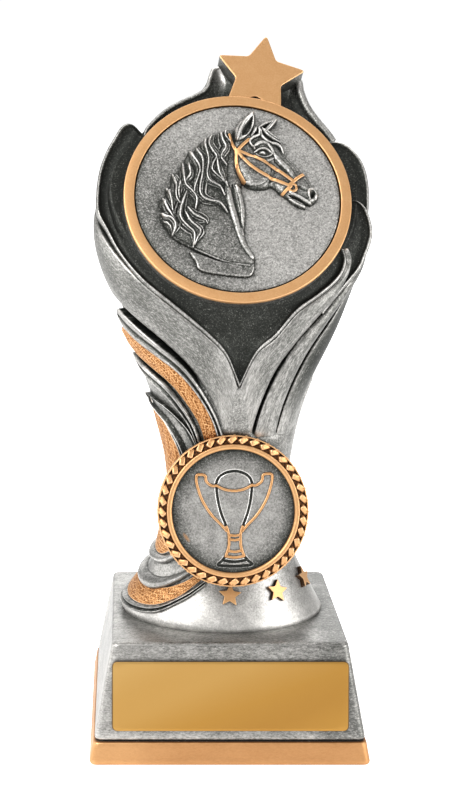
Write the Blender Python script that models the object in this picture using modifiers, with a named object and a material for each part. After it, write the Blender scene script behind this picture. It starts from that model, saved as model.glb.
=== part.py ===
import math

import bpy
import bmesh
import numpy as np
from mathutils import Matrix, Vector

# Driving dimensions, in millimetres.
PLINTH_WIDTH = 70.0
PLINTH_DEPTH = 66.0
PLINTH_HEIGHT = 30.0
PLINTH_TAPER = 5.6
BAND_HEIGHT = 5.7
BAND_STEP = 0.5
PLATE_SIDE_MARGIN = 5.7
PLATE_TOP_MARGIN = 3.9
PLATE_THICKNESS = 0.8
PLATE_RISE = 3.1
BODY_SCALE = 1.0
MEDALLION_DIAMETER = 50.0
MEDALLION_THICKNESS = 1.0
RING_WIDTH = 2.6
RING_RISE = 108.1
RING_FORWARD = 8.0
RING_TILT = 32.0
FACE_TURN = 3.0
TOP_ROLL = 12.0
CUP_DIAMETER = 30.4
CUP_RING_WIDTH = 3.6
CUP_RISE = 31.8
CUP_FORWARD = 20.0
CUP_TILT = 12.0
ROPE_STRANDS = 40
STAR_RADIUS = 11.4
STAR_THICKNESS = 5.4
STAR_STAND = 6.4
SMALL_STAR_RADIUS = 2.95
PETAL_WALL = 2.2

# Named clearances and seats.
FIT_GAP = 0.3
MEDALLION_SINK = 0.3
PLINTH_TOP = PLINTH_HEIGHT
PLATE_WIDTH = PLINTH_WIDTH - 2 * PLATE_SIDE_MARGIN
PLATE_HEIGHT = PLINTH_HEIGHT - BAND_HEIGHT - PLATE_RISE - PLATE_TOP_MARGIN
RECESS_RADIUS = MEDALLION_DIAMETER / 2 + FIT_GAP
RECESS_DEPTH = MEDALLION_THICKNESS + FIT_GAP + MEDALLION_SINK
RING_RADIUS = RECESS_RADIUS + RING_WIDTH
CUP_RECESS = 1.2
CUP_RING_RADIUS = CUP_DIAMETER / 2 + CUP_RING_WIDTH

for old in list(bpy.data.objects):
    bpy.data.objects.remove(old)

TROPHY = bpy.data.collections.new("horse_trophy")
HELPERS = bpy.data.collections.new("shaping_helpers")
bpy.context.scene.collection.children.link(TROPHY)
bpy.context.scene.collection.children.link(HELPERS)


# Body outline above the plinth: height, left, right, front and back reach.
BODY = (
    (0, -27.1, 25.9, 20.6, 20.6),
    (2.4, -26.4, 24.6, 19.6, 19.6),
    (5.2, -24.6, 23.1, 18.2, 18.2),
    (9, -21.7, 21.0, 16.5, 16.5),
    (14, -18.7, 18.6, 14.9, 14.9),
    (20, -16.6, 16.9, 13.8, 13.8),
    (30, -15.0, 15.8, 13.0, 13.0),
    (40, -15.2, 16.6, 13.2, 13.0),
    (51, -17.6, 18.5, 14.4, 13.8),
    (60, -20.4, 21.3, 16.2, 15.0),
    (72, -25.4, 26.3, 18.6, 17.0),
    (82, -29.2, 29.8, 20.4, 18.6),
    (92, -32.0, 33.6, 21.6, 19.8),
    (100, -33.2, 35.4, 22.0, 20.4),
    (108, -33.4, 35.2, 21.6, 20.6),
    (116, -31.6, 34.4, 20.0, 20.4),
    (122, -28.6, 31.6, 17.6, 19.6),
    (130, -22.0, 26.0, 13.0, 17.6),
    (138, -10.0, 16.0, 8.0, 14.0),
)


def mix(a, b, t):
    return a + (b - a) * t


def ease(t):
    t = min(1.0, max(0.0, t))
    return t * t * (3 - 2 * t)


def curve_at(points, t):
    """A smooth line through points of any number of values, at t from 0 to 1."""
    last = len(points) - 1
    at = min(max(t, 0.0), 1.0) * last
    i = min(int(at), last - 1)
    u = at - i
    found = []
    for k in range(len(points[0])):
        p1, p2 = points[i][k], points[i + 1][k]
        p0 = points[i - 1][k] if i else 2 * p1 - p2
        p3 = points[i + 2][k] if i + 2 <= last else 2 * p2 - p1
        found.append(
            p1
            + 0.5 * u * (p2 - p0 + u * (2 * p0 - 5 * p1 + 4 * p2 - p3 + u * (3 * (p1 - p2) + p3 - p0)))
        )
    return found


def body_row(height):
    """Left, right, front and back reach of the body at a height above the plinth."""
    heights = [row[0] for row in BODY]
    height = min(max(height, heights[0]), heights[-1])
    i = max(k for k in range(len(BODY) - 1) if heights[k] <= height)
    t = (height - heights[i]) / (heights[i + 1] - heights[i])
    found = []
    for k in range(1, 5):
        p1, p2 = BODY[i][k], BODY[i + 1][k]
        span = heights[i + 1] - heights[i]
        before = max(i - 1, 0)
        after = min(i + 2, len(BODY) - 1)
        m1 = (p2 - BODY[before][k]) / (heights[i + 1] - heights[before]) * span
        m2 = (BODY[after][k] - p1) / (heights[after] - heights[i]) * span
        found.append(
            p1 * (1 + 2 * t) * (1 - t) ** 2
            + m1 * t * (1 - t) ** 2
            + p2 * t * t * (3 - 2 * t)
            + m2 * t * t * (t - 1)
        )
    return found


def skin(angle, height, lift=0.0):
    """A point of the body. The angle is in degrees round from the front towards the right."""
    left, right, front, back = body_row(height)
    s, c = math.sin(math.radians(angle)), math.cos(math.radians(angle))
    deep = front if c > 0 else back
    half = (right - left) / 2
    nx, ny = s / half, -c / deep
    size = math.hypot(nx, ny)
    x = (left + right) / 2 + half * s
    y = -deep * c
    return Vector(
        (
            BODY_SCALE * x + lift * nx / size,
            BODY_SCALE * y + lift * ny / size,
            PLINTH_TOP + BODY_SCALE * height,
        )
    )


def skin_frame(angle, height, lift=0.0):
    """Local x along the skin to the right, y up the skin, z out of it."""
    middle = skin(angle, height, lift)
    across = (skin(angle + 1, height, lift) - skin(angle - 1, height, lift)).normalized()
    up = (skin(angle, height + 0.5, lift) - skin(angle, height - 0.5, lift)).normalized()
    out = across.cross(up).normalized()
    up = out.cross(across)
    return placed(across, up, out, middle)


def placed(x_axis, y_axis, z_axis, origin):
    found = Matrix.Identity(4)
    for column, vector in enumerate((x_axis, y_axis, z_axis, origin)):
        for row in range(3):
            found[row][column] = vector[row]
    return found


def face_frame(x, forward, rise, tilt, turn, roll):
    """Local x right, y up and z out of a round face on the body that leans back by the tilt."""
    tilt, turn, roll = (math.radians(v) for v in (tilt, turn, roll))
    out = Vector(
        (math.sin(turn) * math.cos(tilt), -math.cos(turn) * math.cos(tilt), math.sin(tilt))
    )
    right = Vector((math.cos(turn), math.sin(turn), 0))
    up = out.cross(right)
    x_axis = right * math.cos(roll) - up * math.sin(roll)
    middle = Vector((BODY_SCALE * x, -BODY_SCALE * forward, PLINTH_TOP + BODY_SCALE * rise))
    return placed(x_axis, out.cross(x_axis), out, middle)


def material(name, colour, roughness, metallic):
    made = bpy.data.materials.new(name)
    made.use_nodes = True
    shader = made.node_tree.nodes["Principled BSDF"]
    shader.inputs["Base Color"].default_value = (*colour, 1)
    shader.inputs["Roughness"].default_value = roughness
    shader.inputs["Metallic"].default_value = metallic
    return made


def solid(name, points, faces, frame=None):
    """A mesh object of the helpers, from points in millimetres."""
    mesh = bpy.data.meshes.new(name)
    if frame is not None:
        points = [frame @ Vector(p) for p in points]
    mesh.from_pydata([Vector(p) for p in points], [], faces)
    sheet = bmesh.new()
    sheet.from_mesh(mesh)
    bmesh.ops.remove_doubles(sheet, verts=sheet.verts, dist=1e-4)
    bmesh.ops.recalc_face_normals(sheet, faces=sheet.faces)
    bmesh.ops.triangulate(sheet, faces=sheet.faces)
    sheet.to_mesh(mesh)
    sheet.free()
    made = bpy.data.objects.new(name, mesh)
    HELPERS.objects.link(made)
    made.hide_render = True
    made.display_type = "WIRE"
    return made


def lofted(name, rings):
    """A closed body through rings of equal counts, with flat ends."""
    count = len(rings[0])
    points = [p for ring in rings for p in ring]
    faces = []
    for i in range(len(rings) - 1):
        for j in range(count):
            k = (j + 1) % count
            a, b = i * count, (i + 1) * count
            faces.append((a + j, a + k, b + k, b + j))
    faces.append(tuple(range(count))[::-1])
    faces.append(tuple(range((len(rings) - 1) * count, len(rings) * count)))
    return solid(name, points, faces)


def turned(name, profile, steps, frame):
    """A solid of revolution whose profile runs from top to bottom, both ends on the axis."""
    mesh = bpy.data.meshes.new(name)
    mesh.from_pydata(
        [(r, 0, z) for r, z in profile],
        [(i, i + 1) for i in range(len(profile) - 1)],
        [],
    )
    made = bpy.data.objects.new(name, mesh)
    HELPERS.objects.link(made)
    screw = made.modifiers.new("Screw", "SCREW")
    screw.steps = steps
    screw.render_steps = steps
    screw.use_merge_vertices = True
    screw.merge_threshold = 0.0001
    screw.use_normal_calculate = True
    return baked(made, frame)


def baked(made, frame):
    """The object with its modifiers applied and moved into a frame given in millimetres."""
    graph = bpy.context.evaluated_depsgraph_get()
    mesh = bpy.data.meshes.new_from_object(made.evaluated_get(graph))
    name = made.name
    bpy.data.objects.remove(made)
    sheet = bmesh.new()
    sheet.from_mesh(mesh)
    bmesh.ops.transform(sheet, matrix=frame, verts=sheet.verts)
    bmesh.ops.remove_doubles(sheet, verts=sheet.verts, dist=1e-3)
    bmesh.ops.recalc_face_normals(sheet, faces=sheet.faces)
    bmesh.ops.triangulate(sheet, faces=sheet.faces)
    sheet.to_mesh(mesh)
    sheet.free()
    found = bpy.data.objects.new(name, mesh)
    HELPERS.objects.link(found)
    found.hide_render = True
    found.display_type = "WIRE"
    return found


def outline_solid(name, outline, low, high, frame):
    """A flat outline of (x, y) points raised from low to high, from a filled 2D curve."""
    data = bpy.data.curves.new(name, "CURVE")
    data.dimensions = "2D"
    data.fill_mode = "BOTH"
    data.extrude = (high - low) / 2
    line = data.splines.new("POLY")
    line.points.add(len(outline) - 1)
    for point, (x, y) in zip(line.points, outline):
        point.co = (x, y, 0, 1)
    line.use_cyclic_u = True
    made = bpy.data.objects.new(name, data)
    HELPERS.objects.link(made)
    lift = Matrix.Translation((0, 0, (low + high) / 2))
    return baked(made, frame @ lift)


def wire(name, points, radius, frame, closed=False, flat=1.0):
    """A round or flattened line along (x, y, z) points, as a bevelled curve."""
    data = bpy.data.curves.new(name, "CURVE")
    data.dimensions = "3D"
    data.bevel_depth = radius
    data.bevel_resolution = 0
    data.use_fill_caps = not closed
    line = data.splines.new("POLY")
    line.points.add(len(points) - 1)
    for point, co in zip(line.points, points):
        point.co = (co[0], co[1], co[2] / flat, 1)
    line.use_cyclic_u = closed
    made = bpy.data.objects.new(name, data)
    HELPERS.objects.link(made)
    return baked(made, frame @ Matrix.Diagonal((1, 1, flat, 1)))


def star_outline(radius, inner, blunt):
    """Ten-cornered star with each point cut back a little, standing upright."""
    found = []
    for i in range(5):
        for turn, reach in ((-blunt, 1.0), (blunt, 1.0)):
            angle = math.radians(90 + 72 * i + turn)
            found.append((radius * math.cos(angle), radius * math.sin(angle)))
        angle = math.radians(90 + 72 * i + 36)
        found.append((inner * math.cos(angle), inner * math.sin(angle)))
    return found


def leaf(name, first, second, low, high, wall, along, across, start=0.12, curl=0.0, power=0.7):
    """A closed curved blade on the skin between two edges of (angle, height) points."""
    top, under = [], []
    for i in range(along + 1):
        t = i / along
        a, b = curve_at(first, t), curve_at(second, t)
        grow = ease(t / start) if start else 1.0
        fold = curl * ease((t - 0.6) / 0.4)
        for j in range(across + 1):
            u = j / across
            bulge = mix(low, high, math.sin(math.pi * u) ** power if 0 < u < 1 else 0.0)
            lift = mix(-wall / 2, bulge, grow) + fold
            angle, height = mix(a[0], b[0], u), mix(a[1], b[1], u)
            top.append(skin(angle, height, lift))
            under.append(skin(angle, height, min(lift, high) - wall))
    width = across + 1
    size = len(top)
    faces = []
    for i in range(along):
        for j in range(across):
            a, b = i * width + j, (i + 1) * width + j
            faces.append((a, a + 1, b + 1, b))
            faces.append((size + a, size + b, size + b + 1, size + a + 1))
    rim = [j for j in range(width)]
    rim += [i * width + across for i in range(1, along + 1)]
    rim += [along * width + j for j in range(across - 1, -1, -1)]
    rim += [i * width for i in range(along - 1, 0, -1)]
    for a, b in zip(rim, rim[1:] + rim[:1]):
        faces.append((a, size + a, size + b, b))
    return solid(name, top + under, faces)


def unite(base, others):
    for other in others:
        join = base.modifiers.new("Join " + other.name, "BOOLEAN")
        join.operation = "UNION"
        join.solver = "MANIFOLD"
        join.object = other


def cut(base, other):
    cutter = base.modifiers.new("Cut " + other.name, "BOOLEAN")
    cutter.operation = "DIFFERENCE"
    cutter.solver = "MANIFOLD"
    cutter.object = other


def settled(base):
    """The same object with its modifiers made part of the mesh."""
    graph = bpy.context.evaluated_depsgraph_get()
    mesh = bpy.data.meshes.new_from_object(base.evaluated_get(graph))
    base.modifiers.clear()
    base.data = mesh
    return base


def finished(base, name, look):
    base.name = name
    base.data.name = name
    HELPERS.objects.unlink(base)
    TROPHY.objects.link(base)
    base.hide_render = False
    base.display_type = "TEXTURED"
    base.data.transform(Matrix.Diagonal((0.001, 0.001, 0.001, 1)))
    base.data.materials.clear()
    base.data.materials.append(look)
    return base


# Horse relief, in millimetres from the middle of the medallion.
HEAD = (
    (0.5, 17.2), (4.0, 17.6), (7.8, 16.6), (9.8, 14.4), (11.4, 12.0), (13.1, 9.9), (15.4, 7.1),
    (17.1, 5.1), (18.8, 3.1), (19.9, 0.9), (19.2, -1.3), (16.6, -3.3), (14.1, -2.1), (12.1, -0.3),
    (10.0, 0.7), (7.9, 1.9), (3.6, 2.4), (1.2, 3.2), (-0.8, 6.0), (-1.6, 10.0), (-1.2, 14.4),
)
NECK = (
    (1.5, 17.0), (-1.4, 18.8), (-5.8, 17.5), (-8.9, 15.4), (-12.5, 11.6), (-15.4, 6.9), (-17.4, 2.5),
    (-19.0, -3.1), (-18.9, -6.2), (-17.9, -9.2), (-16.0, -11.3), (-11.6, -14.1), (-4.6, -17.2),
    (2.0, -18.8), (3.2, -16.4), (1.4, -11.8), (0.8, -8.7), (1.5, -5.6), (1.7, -2.0), (1.0, 2.0),
        (1.6, 9.0),
)
BASE = (
    (-11.3, -14.6), (-4.6, -17.4), (2.4, -19.0), (2.2, -20.9), (-2.0, -21.0), (-9.9, -19.6),
        (-11.2, -17.4),
)
NEAR_EAR = ((-0.2, 15.6), (0.9, 18.6), (5.3, 22.6), (4.6, 18.0), (2.6, 15.4))
FAR_EAR = ((5.2, 17.0), (7.0, 19.3), (10.7, 20.6), (9.6, 18.6), (8.0, 16.6))
# Locks of the mane and forelock, each from its root to its tip.
LOCKS = (
    ((-1.8, 17.6), (-3.6, 13.6), (-3.0, 9.4), (-1.6, 6.4), (1.0, 3.4)),
    ((-4.4, 17.2), (-6.0, 12.6), (-5.6, 8.4), (-4.6, 4.2), (-2.4, 0.4)),
    ((-6.6, 16.4), (-8.6, 11.8), (-7.8, 6.0), (-7.6, 1.4), (-5.0, -0.8), (-2.6, -3.8)),
    ((-9.4, 14.4), (-11.0, 10.2), (-9.6, 5.6), (-10.2, 1.4), (-8.4, -2.4), (-8.6, -5.6)),
    ((-12.2, 11.4), (-13.6, 7.6), (-12.4, 3.0), (-12.8, -0.8), (-10.8, -4.4), (-7.6, -6.4)),
    ((-14.8, 7.2), (-15.6, 3.6), (-15.0, -0.6), (-13.2, -3.6), (-13.8, -6.8)),
    ((-17.0, 2.2), (-16.8, -1.6), (-15.6, -4.4), (-15.8, -7.2)),
    ((-18.6, -4.6), (-17.2, -6.8), (-15.4, -8.6), (-15.4, -10.8)),
    ((-12.0, -1.6), (-13.2, -5.6), (-12.6, -8.4), (-9.6, -10.6), (-10.0, -13.2)),
    ((6.6, 17.0), (8.2, 15.0), (10.4, 14.0), (11.2, 12.0)),
)
STRAPS = (
    ((0.2, 11.4), (-1.6, 15.7)),
    ((0.2, 11.4), (3.3, 14.7)),
    ((0.6, 11.6), (6.4, 8.2), (13.0, 3.3)),
    ((0.6, 11.0), (3.8, 6.4), (7.3, 3.9), (12.4, 2.2)),
    ((0.1, 11.0), (0.3, 6.8), (1.6, 3.4)),
    ((10.6, -0.3), (13.4, 2.6), (17.2, 5.9)),
)


def smooth_line(points, closed=False, share=5):
    """The (x, y) points of a smooth line through the given ones."""
    if closed:
        count = len(points)
        points = [points[-1], *points, points[0], points[1]]
        return np.array([curve_at(points, (1 + t / share) / (count + 2)) for t in range(share * count)])
    count = share * (len(points) - 1)
    return np.array([curve_at(points, t / count) for t in range(count + 1)])


def along_line(x, y, line):
    """Distance from each (x, y) to an open line, and how far along it the nearest place is."""
    best = np.full(x.shape, 1e9)
    where = np.zeros(x.shape)
    for k, ((ax, ay), (bx, by)) in enumerate(zip(line[:-1], line[1:])):
        dx, dy = bx - ax, by - ay
        t = np.clip(((x - ax) * dx + (y - ay) * dy) / (dx * dx + dy * dy), 0, 1)
        d = np.hypot(x - ax - t * dx, y - ay - t * dy)
        closer = d < best
        best = np.where(closer, d, best)
        where = np.where(closer, (k + t) / (len(line) - 1), where)
    return best, where


def depth_inside(x, y, points):
    """How far each (x, y) is inside a smooth closed outline, negative outside."""
    line = smooth_line(points, closed=True)
    line = np.vstack([line, line[:1]])
    away, _ = along_line(x, y, line)
    inside = np.zeros(x.shape, bool)
    for (ax, ay), (bx, by) in zip(line[:-1], line[1:]):
        crosses = (ay > y) != (by > y)
        with np.errstate(divide="ignore", invalid="ignore"):
            at = ax + (y - ay) / (by - ay) * (bx - ax)
        inside ^= crosses & (x < at)
    return np.where(inside, away, -away)


def dome(depth, width, height):
    """Height of a surface that rises from an outline over a width, then stays level."""
    t = np.clip(1 - depth / width, 0, 1)
    return np.where(depth > 0, height * np.sqrt(1 - t * t), -1.0)


def ridge(x, y, points, width, height):
    """Height of a rounded line that thins towards its end, and nothing away from it."""
    away, along = along_line(x, y, smooth_line(points))
    half = width * (1 - 0.55 * along)
    return height * np.sqrt(np.clip(1 - (away / half) ** 2, 0, 1))


def horse_height(x, y):
    neck = dome(depth_inside(x, y, NECK), 3.6, 1.5)
    for lock in LOCKS:
        neck = neck + np.where(neck > 0, ridge(x, y, lock, 1.25, 0.75), 0)
    found = np.maximum(neck, dome(depth_inside(x, y, BASE), 1.0, 0.8))
    head = dome(depth_inside(x, y, HEAD), 3.2, 1.9)
    cheek = np.hypot(x - 4.2, y - 7.2) / 4.6
    head = head + 0.6 * np.sqrt(np.clip(1 - cheek**2, 0, 1))
    head = head - 0.7 * np.exp(-(((x - 6.6) / 1.7) ** 2) - ((y - 11.4) / 1.1) ** 2)
    head = head + 0.8 * np.exp(-(((x - 6.6) / 0.9) ** 2) - ((y - 11.4) / 0.6) ** 2)
    head = head - 0.8 * np.exp(-(((x - 18.0) / 0.7) ** 2) - ((y - 0.6) / 0.6) ** 2)
    head = head - ridge(x, y, ((12.2, -0.2), (16.8, -2.2)), 0.6, 0.7)
    found = np.maximum(found, head)
    for ear, height in ((FAR_EAR, 1.2), (NEAR_EAR, 2.0)):
        found = np.maximum(found, dome(depth_inside(x, y, ear), 1.0, height))
    found = found + ridge(x, y, LOCKS[-1], 1.0, 0.6)
    found = np.where(found > 0.2, found + strap_height(x, y), found)
    return found


def strap_height(x, y):
    found = np.zeros(x.shape)
    for strap in STRAPS:
        away, _ = along_line(x, y, smooth_line(strap))
        found = np.maximum(found, 0.45 * (away < 0.55))
    ring = np.abs(np.hypot(x - 13.3, y - 1.7) - 0.9)
    return np.maximum(found, 0.45 * (ring < 0.4))


# Plinth: gold-painted foot band under four walls that lean in.
def rounded_box(name, levels, corner):
    """A lofted box from (height, width, depth) rows with rounded upright corners."""
    rings = []
    for height, width, depth in levels:
        ring = []
        for quarter in range(4):
            for step in range(3):
                angle = math.radians(90 * quarter + 45 * step)
                cx = (width / 2 - corner) * (1 if quarter in (0, 3) else -1)
                cy = (depth / 2 - corner) * (1 if quarter in (0, 1) else -1)
                ring.append((cx + corner * math.cos(angle), cy + corner * math.sin(angle), height))
        rings.append(ring)
    return lofted(name, rings)


def plinth():
    wide, deep = PLINTH_WIDTH, PLINTH_DEPTH
    lean = PLINTH_TAPER / PLINTH_HEIGHT * 2

    def row(height, inset):
        return (height, wide - lean * height - 2 * inset, deep - lean * height - 2 * inset)

    levels = [
        row(0, 0.5),
        row(0.6, 0.0),
        row(BAND_HEIGHT - 0.3, 0.0),
        row(BAND_HEIGHT, 0.3 + BAND_STEP),
        row(BAND_HEIGHT + 0.5, BAND_STEP * 0.4),
        row(PLINTH_HEIGHT - 1.2, 0.1),
        row(PLINTH_HEIGHT - 0.3, 0.5),
        row(PLINTH_HEIGHT, 1.3),
    ]
    return rounded_box("plinth", levels, 1.6)


def core():
    """The solid body inside the petals, which sinks behind them above the waist."""
    rings = []
    heights = [-1.5, 0.0, 1.2, 3, 6, 10, 15, 22, 32, 44, 54, 59, 65, 75, 90, 105, 116, 126]
    for height in heights:
        lift = -3.0 * ease((height - 56) / 9) - 2.0 * ease((height - 110) / 16)
        edge = 0.0 if height > 0.5 else -0.5
        ring = []
        for k in range(24):
            p = skin(360 * k / 24, max(height, 0), lift + edge)
            p.z = PLINTH_TOP + BODY_SCALE * height
            ring.append(p)
        rings.append(ring)
    return lofted("core", rings)


def slab_in_front(name, frame, depth):
    """A block that takes away everything standing in front of a plane behind a face."""
    reach = 2 * RING_RADIUS
    sheet = bmesh.new()
    bmesh.ops.create_cube(sheet, size=2 * reach)
    mesh = bpy.data.meshes.new(name)
    sheet.to_mesh(mesh)
    sheet.free()
    made = bpy.data.objects.new(name, mesh)
    HELPERS.objects.link(made)
    return baked(made, frame @ Matrix.Translation((0, 0, reach - depth)))


TOP_FRAME = face_frame(1.5, RING_FORWARD, RING_RISE, RING_TILT, FACE_TURN, TOP_ROLL)
LEVEL_FRAME = face_frame(1.5, RING_FORWARD, RING_RISE, RING_TILT, FACE_TURN, 0.0)
CUP_FRAME = face_frame(0.8, CUP_FORWARD, CUP_RISE, CUP_TILT, FACE_TURN, 0.0)


# Blades: two edges of (angle, height), low and high lift.
def petals():
    made = []
    made.append(leaf(
        "petal_left",
        [(5, 60), (-4, 70), (-15, 77.5), (-34, 86), (-56, 94.5), (-76, 102), (-92, 110),
            (-92, 118), (-84, 125)],
        [(-4, 46), (-13, 57), (-28, 68), (-50, 76), (-80, 84), (-112, 92), (-130, 102),
            (-126, 113), (-98, 125)],
        0.2, 1.2, PETAL_WALL, 13, 4, 0.2))
    made.append(leaf(
        "petal_right_low",
        [(3, 60), (12, 70.5), (26, 78.5), (36, 81.5), (47, 84), (55, 87.5), (58, 92), (57, 96),
            (50, 98.5)],
        [(16, 48), (22, 59), (30, 70), (40, 76), (51, 81), (61, 86), (68, 92), (68, 98), (58, 101)],
        0.0, 1.2, PETAL_WALL, 12, 3, 0.2, -1.0))
    made.append(leaf(
        "petal_right_mid",
        [(18, 48), (25, 62), (36, 73.5), (50, 80), (62, 85.5), (78, 91), (92, 97), (94, 102),
            (84, 106.5)],
        [(42, 48), (43, 60), (48, 72), (61, 80), (76, 86), (100, 93), (116, 100), (112, 106),
            (94, 109)],
        0.0, 1.0, PETAL_WALL, 11, 3, 0.2, -0.8))
    made.append(leaf(
        "petal_right_high",
        [(40, 48), (42, 60), (48, 72), (62, 80.5), (78, 89), (88, 99), (92, 107), (96, 114),
            (106, 120)],
        [(72, 46), (70, 60), (76, 70), (96, 80), (118, 90), (134, 100), (140, 110), (136, 117),
            (120, 122)],
        0.0, 0.8, PETAL_WALL, 11, 3, 0.2, -0.6))
    made.append(leaf(
        "plume_right",
        [(104, 84), (108, 96), (112, 108), (116, 117), (121, 122), (126, 126), (129, 130),
            (126, 134), (118, 138)],
        [(168, 84), (172, 96), (172, 108), (172, 116), (168, 122), (162, 127), (152, 131),
            (142, 135), (128, 138.4)],
        0.0, 1.2, PETAL_WALL, 8, 3, 0.0))
    made.append(leaf(
        "plume_left",
        [(-104, 84), (-106, 96), (-110, 108), (-118, 117), (-128, 124), (-137, 129),
            (-150, 132.5), (-158, 135), (-156, 138)],
        [(-170, 84), (-170, 96), (-170, 108), (-172, 116), (-174, 122), (-174, 127), (-172, 131),
            (-170, 135), (-168, 138.4)],
        0.0, 1.2, PETAL_WALL, 8, 3, 0.0))
    made.append(leaf(
        "petal_back_left",
        [(-104, 44), (-100, 58), (-104, 72), (-112, 84), (-122, 96), (-132, 107), (-142, 116)],
        [(-176, 44), (-176, 58), (-176, 72), (-174, 84), (-170, 96), (-164, 107), (-152, 117)],
        0.2, 1.5, PETAL_WALL, 6, 2, 0.2))
    made.append(leaf(
        "petal_back_right",
        [(182, 44), (182, 58), (180, 72), (176, 84), (172, 96), (164, 107), (150, 117)],
        [(104, 44), (100, 58), (104, 72), (112, 84), (122, 96), (132, 107), (142, 116)],
        0.2, 1.5, PETAL_WALL, 6, 2, 0.2))
    made.append(leaf(
        "panel",
        [(5, 62), (-3, 70), (-11, 78), (-18, 88)],
        [(7, 62), (15, 70), (25, 79), (33, 88)],
        -2.6, -2.0, 2.0, 5, 3, 0.0))
    return made


def ribbons():
    """Bands that sweep from the lower ring up to the left, each ending in a free point."""
    rows = (
        ("ribbon_silver_a", [(-5, 48), (-13, 56), (-28, 66.5), (-42, 72), (-58, 76.5), (-78, 81)],
            [(-10, 47), (-17, 55), (-32, 64.6), (-48, 70), (-66, 75), (-80, 79.6)], -0.2, 1.5),
        ("ribbon_gold_a", [(-9, 47.6), (-15.6, 55.4), (-30.6, 65.2), (-46.6, 70.8), (-64, 76),
            (-81, 80)], [(-22, 46), (-27, 53), (-42, 61.5), (-56, 66.5), (-70, 70),
            (-86, 74)], 0.5, 0.9),
        ("ribbon_silver_b", [(-24, 46), (-30, 53), (-44, 61), (-58, 65.5), (-72, 68.6),
            (-84, 71)], [(-28, 45), (-35, 52), (-50, 58.5), (-64, 62.5), (-76, 65.5),
            (-88, 68.6)], 0.2, 2.0),
        ("ribbon_leaf", [(-27, 45.6), (-34, 52.3), (-48.6, 59), (-62, 62.8), (-76, 64.6),
            (-89, 65.2)], [(-44, 43), (-50, 48), (-60, 53), (-72, 56), (-84, 57.5),
            (-94, 58.5)], 0.6, 1.1),
        ("ribbon_gold_b", [(-46, 38), (-50, 44), (-58, 49), (-68, 53), (-82, 55.5), (-94, 57)],
            [(-90, 36), (-94, 40), (-96, 44), (-97, 48), (-98, 51), (-99, 54)], 0.4, 0.8),
        ("foot_gold_top", [(-50, 22), (-70, 23), (-92, 24), (-112, 25)], [(-50, 18.6), (-66, 16),
            (-90, 16.4), (-114, 18)], 0.5, 0.9),
        ("foot_rim_top", [(-44, 19), (-62, 16.2), (-86, 16.2), (-114, 17.6)], [(-44, 16.6),
            (-60, 14), (-88, 14), (-116, 15.6)], 0.3, 1.6),
        ("foot_leaf", [(-27.4, 15.9), (-39.5, 12.9), (-56.4, 10.9), (-78.5, 11), (-112.6, 12.9)],
            [(-28, 13.4), (-42, 9.8), (-58, 7.8), (-82, 8.4), (-114, 10.4)], 0.3, 1.6),
        ("foot_gold_low", [(-19.4, 14.9), (-33.4, 11.1), (-51.7, 8.8), (-81, 9), (-113, 11)],
            [(-20, 11.8), (-34, 7), (-52, 4.2), (-84, 4.4), (-116, 7)], 0.5, 0.8),
        ("foot_rim_low", [(-16, 12.6), (-30, 8.2), (-48, 4.6), (-84, 4.2), (-116, 6.8)],
            [(-16, 10.8), (-30, 6.2), (-48, 2.6), (-84, 2.0), (-118, 4.6)], 0.3, 1.3),
    )
    made = []
    for name, first, second, low, high in rows:
        made.append(leaf(name, first, second, low, high, 3.0, 6, 2, 0.0))
    return made


def lower_ring():
    """The drum of the lower face: sunk floor, plain band, slanting rope strands, then its side."""
    band = CUP_DIAMETER / 2 + 1.5
    rope = CUP_RING_RADIUS - band
    # Radius, height, strand relief and slant, in strands, of each row.
    rows = (
        (0.01, -CUP_RECESS, 0.0, 0.0),
        (CUP_DIAMETER / 2, -CUP_RECESS, 0.0, 0.0),
        (CUP_DIAMETER / 2 + 0.1, 0.0, 0.0, 0.0),
        (band, 0.0, 0.0, 0.0),
        (band + 0.15 * rope, -0.7, 0.15, 0.0),
        (band + 0.45 * rope, 0.0, 0.35, 0.35),
        (band + 0.95 * rope, -0.55, 0.35, 0.8),
        (band + 1.1 * rope, -2.3, 0.0, 1.0),
        (band + 0.6 * rope, -9.5, 0.0, 1.0),
        (0.02, -12.0, 0.0, 1.0),
    )
    around = ROPE_STRANDS * 2
    rings = []
    for radius, height, relief, slant in rows:
        ring = []
        for i in range(around):
            angle = math.pi * (i + 2 * slant) / ROPE_STRANDS
            lift = relief if i % 2 else -relief
            reach = radius + 0.6 * lift
            spot = Vector((reach * math.cos(angle), reach * math.sin(angle), height + lift))
            ring.append(CUP_FRAME @ spot)
        rings.append(ring)
    return lofted("lower_ring", rings[::-1])


def cup_emblem():
    """Raised lines of a two-handled cup on the lower face."""
    floor = -CUP_RECESS + 0.05
    handle = [(-4.2, 6.3), (-6.3, 7.0), (-6.9, 8.8), (-9.1, 8.9), (-8.4, 5.0), (-5.6, -0.5),
        (-2.2, -3.9), (-1.1, -7.4), (-1.7, -11.0)]
    lines = [handle, [(0.6 - x, y) for x, y in handle]]
    lines.append([(-4.2, 6.3), (-2.0, 5.2), (2.6, 5.2), (4.8, 6.3)])
    lines.append([(-2.0, -3.4), (-3.4, 1.4), (-4.1, 6.3), (-2.4, 9.2), (0.3, 9.9), (3.0, 9.2),
        (4.7, 6.3), (4.0, 1.4), (2.6, -3.4)])
    lines.append([(-1.3, -6.5), (1.9, -6.5)])
    lines.append([(-2.1, -11.3), (0.3, -10.9), (2.7, -11.3), (4.4, -13.1), (0.3, -13.5),
        (-3.8, -13.1), (-2.3, -11.6)])
    made = []
    unit = CUP_DIAMETER / 30.4
    for k, line in enumerate(lines):
        raised = [(unit * x, unit * y, floor + 0.02 * k) for x, y in line]
        made.append(wire(f"cup_line_{k}", raised, 0.42, CUP_FRAME, flat=0.9))
    return made


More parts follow.
